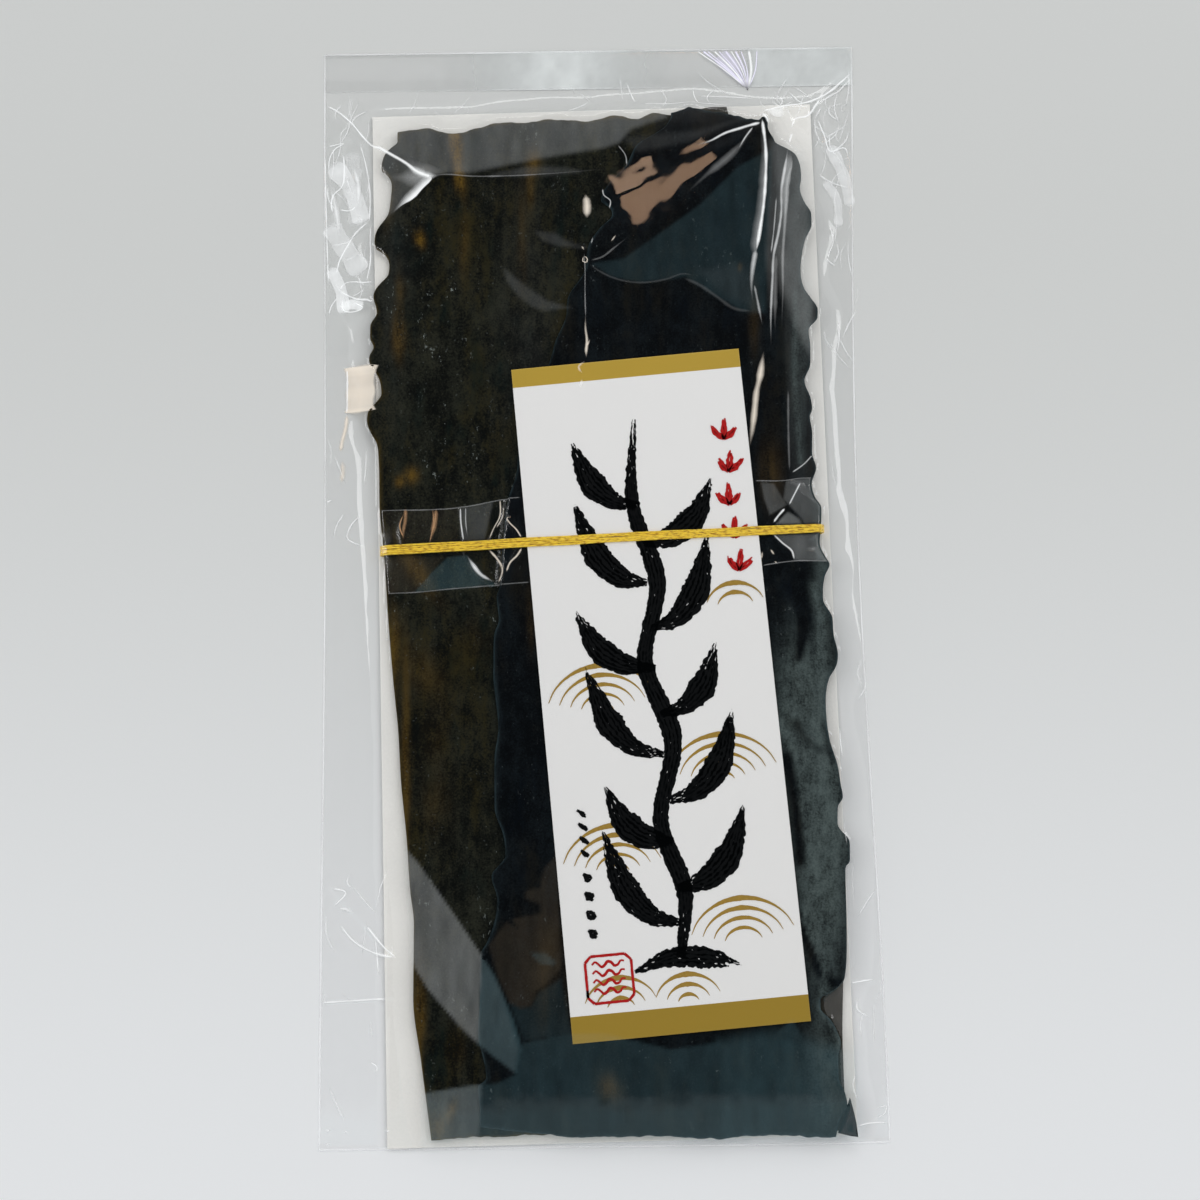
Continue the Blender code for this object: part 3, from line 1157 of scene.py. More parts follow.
@dataclass(frozen=True)
class FlatCard:
    """A flat card with slightly rounded upper edges, which may bow a little."""

    name: str
    slot: str
    width: float
    length: float
    under: float
    top: float
    right: float
    up: float
    turn: float
    bow: float = 0.0
    pitch: float = 4.0
    edge: float = 0.12

    def seat(self) -> Matrix:
        """Where the card lies."""
        return Matrix.Translation(Vector((self.right, self.up, 0.0)) * MM) @ Matrix.Rotation(self.turn, 4, "Z")

    def covers(self, right: np.ndarray, up: np.ndarray) -> np.ndarray:
        """Whether each place lies under the card."""
        cos, sin = math.cos(self.turn), math.sin(self.turn)
        aside = (right - self.right) * cos + (up - self.up) * sin
        along = (up - self.up) * cos - (right - self.right) * sin
        return (np.abs(aside) < self.width / 2) & (np.abs(along) < self.length / 2)

    def _steps(self, size: float) -> np.ndarray:
        """Grid lines across one direction: the lower edge, the rounded upper edge and the face between.

        Args:
            size: The card's size in that direction.

        Returns:
            Distances from the card's middle.
        """
        half = size / 2
        face = np.linspace(-half + 3 * self.edge, half - 3 * self.edge, int(size / self.pitch))
        rim = [-half, -half, -half + self.edge]
        return np.concatenate([rim, face, [-place for place in reversed(rim)]])

    def build(self, material: bpy.types.Material) -> bpy.types.Object:
        """Make the card's piece.

        Args:
            material: The card's finish.

        Returns:
            The piece, which keeps its own axes so that its finish can read them.
        """
        columns = self._steps(self.width)
        rows = self._steps(self.length)
        right, up = np.meshgrid(columns, rows)
        rim = np.zeros((len(rows), len(columns)))
        rim[1:-1, 1:-1] = 0.85
        rim[2:-2, 2:-2] = 1.0
        bowed = self.bow * (1.0 - (2 * right / self.width) ** 2)
        height = self.under + (self.top - self.under + bowed) * rim
        made = Surface.from_grid(right, up, height).piece(self.name, material, self.slot)
        made.matrix_world = self.seat()
        return made


@dataclass(frozen=True)
class BrushStroke:
    """A brush stroke: a smooth path whose width swells and tapers, split into bristle tracks at its tail."""

    path: tuple[tuple[float, float], ...]
    widths: tuple[float, ...]
    bristles: int = 1
    dry: float = 0.0
    rough: float = 0.12
    seed: int = 1

    def surface(self, height: float) -> Surface:
        """The stroke as flat ribbons.

        Args:
            height: Height of the paper.

        Returns:
            The stroke's surface.
        """
        middle = smooth_path(self.path, 0.4)
        along = np.linspace(0.0, 1.0, len(middle))
        run = np.gradient(middle, axis=0)
        run /= np.maximum(np.hypot(run[:, 0], run[:, 1]), 1e-9)[:, None]
        aside = np.column_stack([-run[:, 1], run[:, 0]])
        half = np.interp(along, np.linspace(0.0, 1.0, len(self.widths)), self.widths) / 2
        chance = np.random.default_rng(self.seed)
        made: Surface | None = None
        for bristle in range(self.bristles):
            low = -1.0 + 2.0 * bristle / self.bristles
            high = low + 2.0 / self.bristles + (0.12 if self.bristles > 1 else 0.0)
            end = 1.0 - self.dry * chance.uniform(0.0, 1.0)
            keep = max(int(end * len(middle)), 4)
            jitter = SmoothField(self.seed + bristle, 0.9, 1.0, 2)
            edges = []
            for side, seed_row in ((low, 0.0), (min(high, 1.0), 7.0)):
                wobble = jitter.at(along[:keep] * len(middle) * 0.4, np.full(keep, seed_row)) * self.rough
                fray = wobble * np.minimum(half[:keep], 1.0)
                edges.append(middle[:keep] + aside[:keep] * (side * half[:keep] + fray)[:, None])
            right = np.stack([edges[0][:, 0], edges[1][:, 0]])
            up = np.stack([edges[0][:, 1], edges[1][:, 1]])
            ribbon = Surface.from_grid(right, up, np.full(right.shape, height))
            made = ribbon if made is None else made.joined(ribbon)
        return made


@dataclass(frozen=True)
class LabelPrint:
    """The label's print: ink kelp fronds, gold wave lines and red marks, all in the label's own axes."""

    card: FlatCard
    lift: float = 0.02
    leaf_bases: tuple[float, ...] = (-70, -60, -46, -34, -20, -8, 6, 18, 32, 44, 56)
    dab_rows: tuple[tuple[float, float], ...] = (
        (-34, 1.6), (-38, 1.8), (-42, 1.5), (-46, 1.7), (-53, 2.8), (-58.5, 3.2), (-64, 2.9), (-69.5, 3.1),
    )
    arches: tuple[tuple[float, float, float], ...] = (
        (-17, -6, 17), (17, -30, 17), (-17, -54, 17), (18, -78, 16), (-20, -93.5, 11), (0, -93.5, 10), (26, 22, 9),
    )

    def _piece(self, name: str, strokes: Sequence[BrushStroke], finish: InkFinish, lift: int) -> bpy.types.Object:
        """Join strokes of one ink into a piece on the card.

        Args:
            name: The piece's name.
            strokes: The strokes.
            finish: The ink.
            lift: How many ink layers it lies above the paper.

        Returns:
            The piece.
        """
        height = self.card.top + self.card.bow + self.lift * lift
        joined = strokes[0].surface(height)
        for stroke in strokes[1:]:
            joined = joined.joined(stroke.surface(height))
        made = joined.piece(name, finish.material(), "label_card")
        made.matrix_world = self.card.seat()
        return made

    def fronds(self) -> list[BrushStroke]:
        """A tall kelp plant with leaves to both sides, painted with a loaded brush, and small dabs beside it."""
        stalk = BrushStroke(
            ((-1, -80), (2, -62), (-3, -40), (3, -16), (-3, 8), (3, 32), (-2, 56), (1, 84)),
            (2.5, 5.5, 4.5, 6, 4.5, 5.5, 4, 1), bristles=5, dry=0.06, rough=0.22, seed=3,
        )
        leaves = []
        for number, base in enumerate(self.leaf_bases):
            side = 1 if number % 2 else -1
            reach = 18.5 + 1.8 * math.sin(number * 2.3)
            lift = 17 + 4 * math.cos(number * 1.7)
            path = (
                (0.0, base), (side * reach * 0.42, base + lift * 0.12), (side * reach * 0.8, base + lift * 0.5),
                (side * reach, base + lift), (side * reach * 1.12, base + lift * 1.4),
            )
            widths = (1.8, 6.0 + math.sin(number), 8.5, 5.0, 0.4)
            leaves.append(BrushStroke(path, widths, bristles=6, dry=0.1, rough=0.28, seed=11 + 9 * number))
        root = BrushStroke(((-15, -83), (-5, -80), (5, -80.5), (17, -84)), (1, 5.5, 6.5, 1), 5, 0.15, 0.35, 141)
        dabs = [
            BrushStroke(((-27.6, row), (-24.8, row - 2.6)), (0.7, size, 0.6), 2, 0.2, 0.25, 150 + number)
            for number, (row, size) in enumerate(self.dab_rows)
        ]
        return [stalk, *leaves, root, *dabs]

    def waves(self) -> list[BrushStroke]:
        """Nested wave arches, thin lines that taper to both ends."""
        strokes = []
        for middle, base, radius in self.arches:
            for ring in range(5):
                reach = radius - 3.4 * ring
                if reach < 3:
                    continue
                angles = np.radians(np.linspace(162, 18, 11))
                path = tuple(
                    (min(max(middle + reach * math.cos(a), -34.6), 34.6), base + reach * 0.85 * math.sin(a))
                    for a in angles
                )
                swell = 1.7 - 0.2 * ring
                strokes.append(BrushStroke(path, (0.2, 0.8, swell, 0.7, 0.15), rough=0.08, seed=ring))
        return strokes

    def red_marks(self) -> list[BrushStroke]:
        """A column of red sprigs of three dabs, and a red frame with small waves in it."""
        sprigs = []
        for row in range(5):
            base = 74.0 - 10.2 * row
            lean = 1.2 * math.sin(row * 2.1)
            foot = (27.8 + lean * 0.3, base)
            tips = ((24.2 + lean, base + 5.2), (28.6 + lean, base + 7.4), (32.2 + lean, base + 4.2))
            for number, tip in enumerate(tips):
                middle = ((foot[0] + tip[0]) / 2 + 0.6 * (number - 1), (foot[1] + tip[1]) / 2)
                sprigs.append(BrushStroke((foot, middle, tip), (0.9, 2.2, 1.7, 0.4), 2, 0.2, 0.2, 60 + 3 * row + number))
        left, right, low, high, corner = -29.5, -15.8, -91.0, -77.3, 1.8
        outline = (
            (left, low + corner), (left, high - corner), (left + corner, high), (right - corner, high),
            (right, high - corner), (right, low + corner), (right - corner, low), (left + corner, low),
            (left, low + corner), (left, low + 2.2 * corner),
        )
        frame = [BrushStroke(ends, (0.8, 0.8), rough=0.12, seed=71) for ends in zip(outline, outline[1:])]
        ripples = [
            BrushStroke(
                tuple((left + 2.0 + 9.6 * step / 10, row + 0.8 * math.sin(step * 1.5)) for step in range(11)),
                (0.5, 0.9, 0.5), rough=0.1, seed=73,
            )
            for row in (-79.8, -82.4, -85.0, -87.6)
        ]
        return [*sprigs, *frame, *ripples]

    def build(self) -> None:
        """Make the three inks' pieces."""
        self._piece("label_gold_waves", self.waves(), InkFinish("gold_ink", (0.36, 0.225, 0.045), 0.4), 1)
        self._piece("label_red_marks", self.red_marks(), InkFinish("red_ink", (0.45, 0.012, 0.012)), 2)
        self._piece("label_ink_fronds", self.fronds(), InkFinish("black_ink", (0.0015, 0.0016, 0.0018)), 3)


# ---------------------------------------------------------------------------------------------------
# Elastic loop and clear strip
# ---------------------------------------------------------------------------------------------------


@dataclass(frozen=True)
class ElasticLoop:
    """Gold elastic round the kelp, the card and the label: fine strands side by side."""

    label: FlatCard
    strands: int = 5
    sides: int = 8
    up_at_middle: float = 11.1
    slant: float = 0.036
    left_spread: float = 2.5
    right_spread: float = 1.9

    def line(self, right: np.ndarray | float) -> np.ndarray | float:
        """How far up the pouch the elastic lies at each place to the right."""
        return self.up_at_middle + self.slant * right

    def profile(self) -> list[tuple[float, float]]:
        """The loop as (right, height) corners, over the top from left to right and back under the card."""
        r = LAYERS.strand
        left = float(OLIVE_LEFT.at(self.line(-66.0)))
        right = float(DARK_RIGHT.at(self.line(70.0)))
        lean = math.tan(self.label.turn) * (self.line(0.0) - self.label.up)
        label_left = self.label.right - self.label.width / 2 - lean
        label_right = self.label.right + self.label.width / 2 - lean
        top = LAYERS.label_top + self.label.bow + r + 0.05
        edge_top = LAYERS.label_top + r + 0.02
        return [
            (left + 8, LAYERS.card_under - r - 0.05), (left - 0.4, 0.8), (left - 1.1, 2.4), (left - 0.6, 4.2),
            (left + 1.0, LAYERS.olive_top + r + 0.35), (label_left - 14, 6.0), (label_left + 0.3, edge_top),
            (label_left + 12, top), (label_right - 12, top), (label_right - 0.3, edge_top),
            (right - 1.2, LAYERS.dark_top + r + 0.4), (right + 0.6, LAYERS.dark_top - 0.3), (right + 1.1, 3.4),
            (right + 0.5, 1.0), (right - 8, LAYERS.card_under - r - 0.05),
        ]

    def over_top(self) -> SideLine:
        """Height of the strands' middle over the pack, by the distance to the right."""
        return SideLine([corner for corner in self.profile()[3:12]])

    def strand_middle(self, number: int) -> np.ndarray:
        """The middle of one strand, all round the loop.

        Args:
            number: Which strand, from 0.

        Returns:
            Its points, in mm.
        """
        corners = np.array([*self.profile(), self.profile()[0]])
        reach = np.concatenate([[0.0], np.cumsum(np.hypot(*np.diff(corners, axis=0).T))])
        places = np.arange(0.0, reach[-1], 1.1)
        right = np.interp(places, reach, corners[:, 0])
        height = np.interp(places, reach, corners[:, 1])
        soften = np.array([0.25, 0.5, 0.25])
        for _ in range(2):
            right = np.convolve(np.concatenate([right[-1:], right, right[:1]]), soften, "valid")
            height = np.convolve(np.concatenate([height[-1:], height, height[:1]]), soften, "valid")
        share = (number / (self.strands - 1)) - 0.5
        spread = np.interp(right, (-66.0, 70.0), (self.left_spread, self.right_spread))
        stray = SmoothField(90 + number, 14.0, 1.0, 2).at(places, np.zeros_like(places))
        up = self.line(right) + share * spread + 0.1 * stray
        return np.column_stack([right, up, height + 0.05 * stray * (height > 3.0)])

    def build(self) -> bpy.types.Object:
        """Make the strands as tubes joined in one piece.

        Returns:
            The elastic's piece.
        """
        made: Surface | None = None
        turn = np.linspace(0.0, 2 * np.pi, self.sides, endpoint=False)
        for number in range(self.strands):
            middle = self.strand_middle(number)
            run = np.roll(middle, -1, axis=0) - np.roll(middle, 1, axis=0)
            run /= np.linalg.norm(run, axis=1)[:, None]
            aside = np.cross(run, (0.0, 1.0, 0.0))
            aside /= np.linalg.norm(aside, axis=1)[:, None]
            across = np.cross(run, aside)
            ring = aside[:, None, :] * np.cos(turn)[None, :, None] + across[:, None, :] * np.sin(turn)[None, :, None]
            points = (middle[:, None, :] + ring * LAYERS.strand).reshape(-1, 3)
            count = len(middle)
            row = np.arange(count)[:, None] * self.sides
            ahead = ((np.arange(count) + 1) % count)[:, None] * self.sides
            column = np.arange(self.sides)[None, :]
            beside = (column + 1) % self.sides
            faces = np.stack([row + column, row + beside, ahead + beside, ahead + column], axis=-1).reshape(-1, 4)
            wind = np.repeat(np.arange(count) * 1.1 + number * 0.7, self.sides) + np.tile(turn * 0.35, count)
            tube = Surface(points, faces, {"wind": wind})
            made = tube if made is None else made.joined(tube)
        finish = ElasticFinish(bright=(1.0, 0.70, 0.05), gap=(0.50, 0.25, 0.010))
        return made.piece("gold_elastic", finish.material(), "gold_elastic")


# ---------------------------------------------------------------------------------------------------
# The pouch's film
# ---------------------------------------------------------------------------------------------------


class CreaseColour(Enum):
    """Painted colours of the glints and reflections that the creases show, taken from the light round them."""

    WHITE = (0.90, 0.91, 0.91)
    CREAM = (0.84, 0.75, 0.64)
    LILAC = (0.80, 0.78, 0.90)
    COPPER = (0.62, 0.36, 0.19)


class Profile(Enum):
    """How a crease fades from its middle to its sides: its strength at five steps across."""

    RIDGE = ((-1.0, -0.45, 0.0, 0.45, 1.0), (0.0, 0.6, 1.0, 0.6, 0.0))
    FACET = ((-1.0, -0.86, 0.0, 0.86, 1.0), (0.0, 0.85, 1.0, 0.85, 0.0))
    LEFT_SHARP = ((-1.0, -0.75, -0.3, 0.3, 1.0), (0.0, 1.0, 0.8, 0.35, 0.0))
    RIGHT_SHARP = ((-1.0, -0.3, 0.3, 0.75, 1.0), (0.0, 0.35, 0.8, 1.0, 0.0))


@dataclass(frozen=True)
class Crease:
    """A thin fold in the film, a low ridge whose whiteness is partly the fold's own and mostly a painted highlight with
    a slight painted glow.
    """

    path: tuple[tuple[float, float], ...]
    width: float = 0.7
    strength: float = 0.5
    colour: CreaseColour = CreaseColour.WHITE
    start: float = 0.1
    end: float = 0.1
    profile: Profile = Profile.RIDGE

    def ribbon(self, heights: Heights, number: int, highest: float) -> Surface:
        """The crease as a low ridge on the film.

        Args:
            heights: Reads the film's height.
            number: The crease's place in its list, which sets how closely it lies on the film.
            highest: Height that it may not pass, in mm.

        Returns:
            Its surface, with how white it is.
        """
        middle = smooth_path(self.path, 0.7)
        middle[:, 0] = np.clip(middle[:, 0], -84.2, 84.2)
        run = np.gradient(middle, axis=0)
        run /= np.maximum(np.hypot(run[:, 0], run[:, 1]), 1e-9)[:, None]
        along = np.linspace(0.0, 1.0, len(middle))
        taper = ease(along / max(self.start, 1e-6)) * ease((1 - along) / max(self.end, 1e-6))
        place = along * len(middle) * 0.7
        vary = 1.0 + 0.16 * SmoothField(len(middle) + number, 4.0, 1.0, 3).at(place, np.zeros_like(along))
        half = self.width / 2 * (0.25 + 0.75 * taper) * vary
        steps, share = (np.array(values)[:, None] for values in self.profile.value)
        right = middle[:, 0] - run[:, 1] * half * steps
        up = middle[:, 1] + run[:, 0] * half * steps
        rise = 0.12 * share * taper if self.width < 3.0 else 0.03 * share
        height = np.minimum(heights(right, up) + 0.03 + 0.006 * (number % 9) + rise, highest)
        # How strongly the ridge is whitened: partly the fold's own whitening, mostly painted highlight.
        return Surface.from_grid(right, up, height, haze=np.clip(self.strength * share * taper * vary, 0.0, 1.0))


@dataclass(frozen=True)
class Veil:
    """A soft-edged patch of painted sheen on the film, drawn as diffuse whitening."""

    outline: tuple[tuple[float, float], ...]
    strength: float
    softness: float = 3.0
    tint: Tint = Tint.PLAIN

    def at(self, right: np.ndarray, up: np.ndarray) -> np.ndarray:
        """How white the film is at each place.

        Args:
            right: Distances to the right.
            up: Distances up the pouch.

        Returns:
            Values from 0 to the veil's strength.
        """
        depth = path_distance(right, up, [*self.outline, self.outline[0]])
        depth = np.where(is_inside(right, up, self.outline), depth, -depth)
        return self.strength * ease(0.5 + depth / self.softness)


def painted_sheens(right: np.ndarray, up: np.ndarray, veils: Sequence[Veil], uneven: float) -> dict[str, np.ndarray]:
    """How strongly the painted sheen whitens a film, in each tint.

    Args:
        right: Distances to the right.
        up: Distances up the pouch.
        veils: The film's veils.
        uneven: How patchy the painted sheen is.

    Returns:
        Values by the tint's mark.
    """
    sheen_unevenness = 1.0 + uneven * SmoothField(21, 2.6, 8.0, 3).at(right, up)
    made = {tint.mark: np.zeros_like(sheen_unevenness) for tint in Tint}
    for veil in veils:
        made[veil.tint.mark] = np.maximum(made[veil.tint.mark], veil.at(right, up) * sheen_unevenness)
    return made


def fan_creases() -> tuple[Crease, ...]:
    """Fine creases that spread over the header from its lower edge, near its right end."""
    ends = (34.4, 36.2, 37.6, 39.8, 41.2, 43.4, 45.2, 46.6, 48.4, 51.0, 53.6)
    made = []
    for number, end in enumerate(ends):
        colour = CreaseColour.LILAC if number % 3 else CreaseColour.WHITE
        path = ((50.4, 156.0), (0.5 * (50.6 + end) + 0.8, 162.4), (end, 169.2))
        made.append(Crease(path, 0.6 + 0.4 * (number % 2), 1.0, colour, 0.25, 0.02))
    return tuple(made)


def crinkles(left: float, right: float, low: float, high: float, count: int, seed: int) -> tuple[Crease, ...]:
    """Short fine creases scattered over a loose part of the film, mostly along the pouch.

    Args:
        left: Left limit.
        right: Right limit.
        low: Lower limit.
        high: Upper limit.
        count: How many there are.
        seed: Seed of their places.

    Returns:
        The creases.
    """
    chance = np.random.default_rng(seed)
    made = []
    for _ in range(count):
        lean, length, bend = chance.normal(0.0, 0.55), chance.uniform(4.0, 15.0), chance.normal(0.0, 1.2)
        across, along = math.sin(lean) * length, math.cos(lean) * length
        x, y = chance.uniform(left, right), chance.uniform(low, high)
        places = ((x, y), (x + across / 2 + bend, y + along / 2), (x + across, y + along))
        path = tuple((float(np.clip(a, left, right)), min(b, 168.5)) for a, b in places)
        made.append(Crease(path, chance.uniform(0.3, 0.7), chance.uniform(0.2, 0.8), start=0.3, end=0.3))
    return tuple(made)


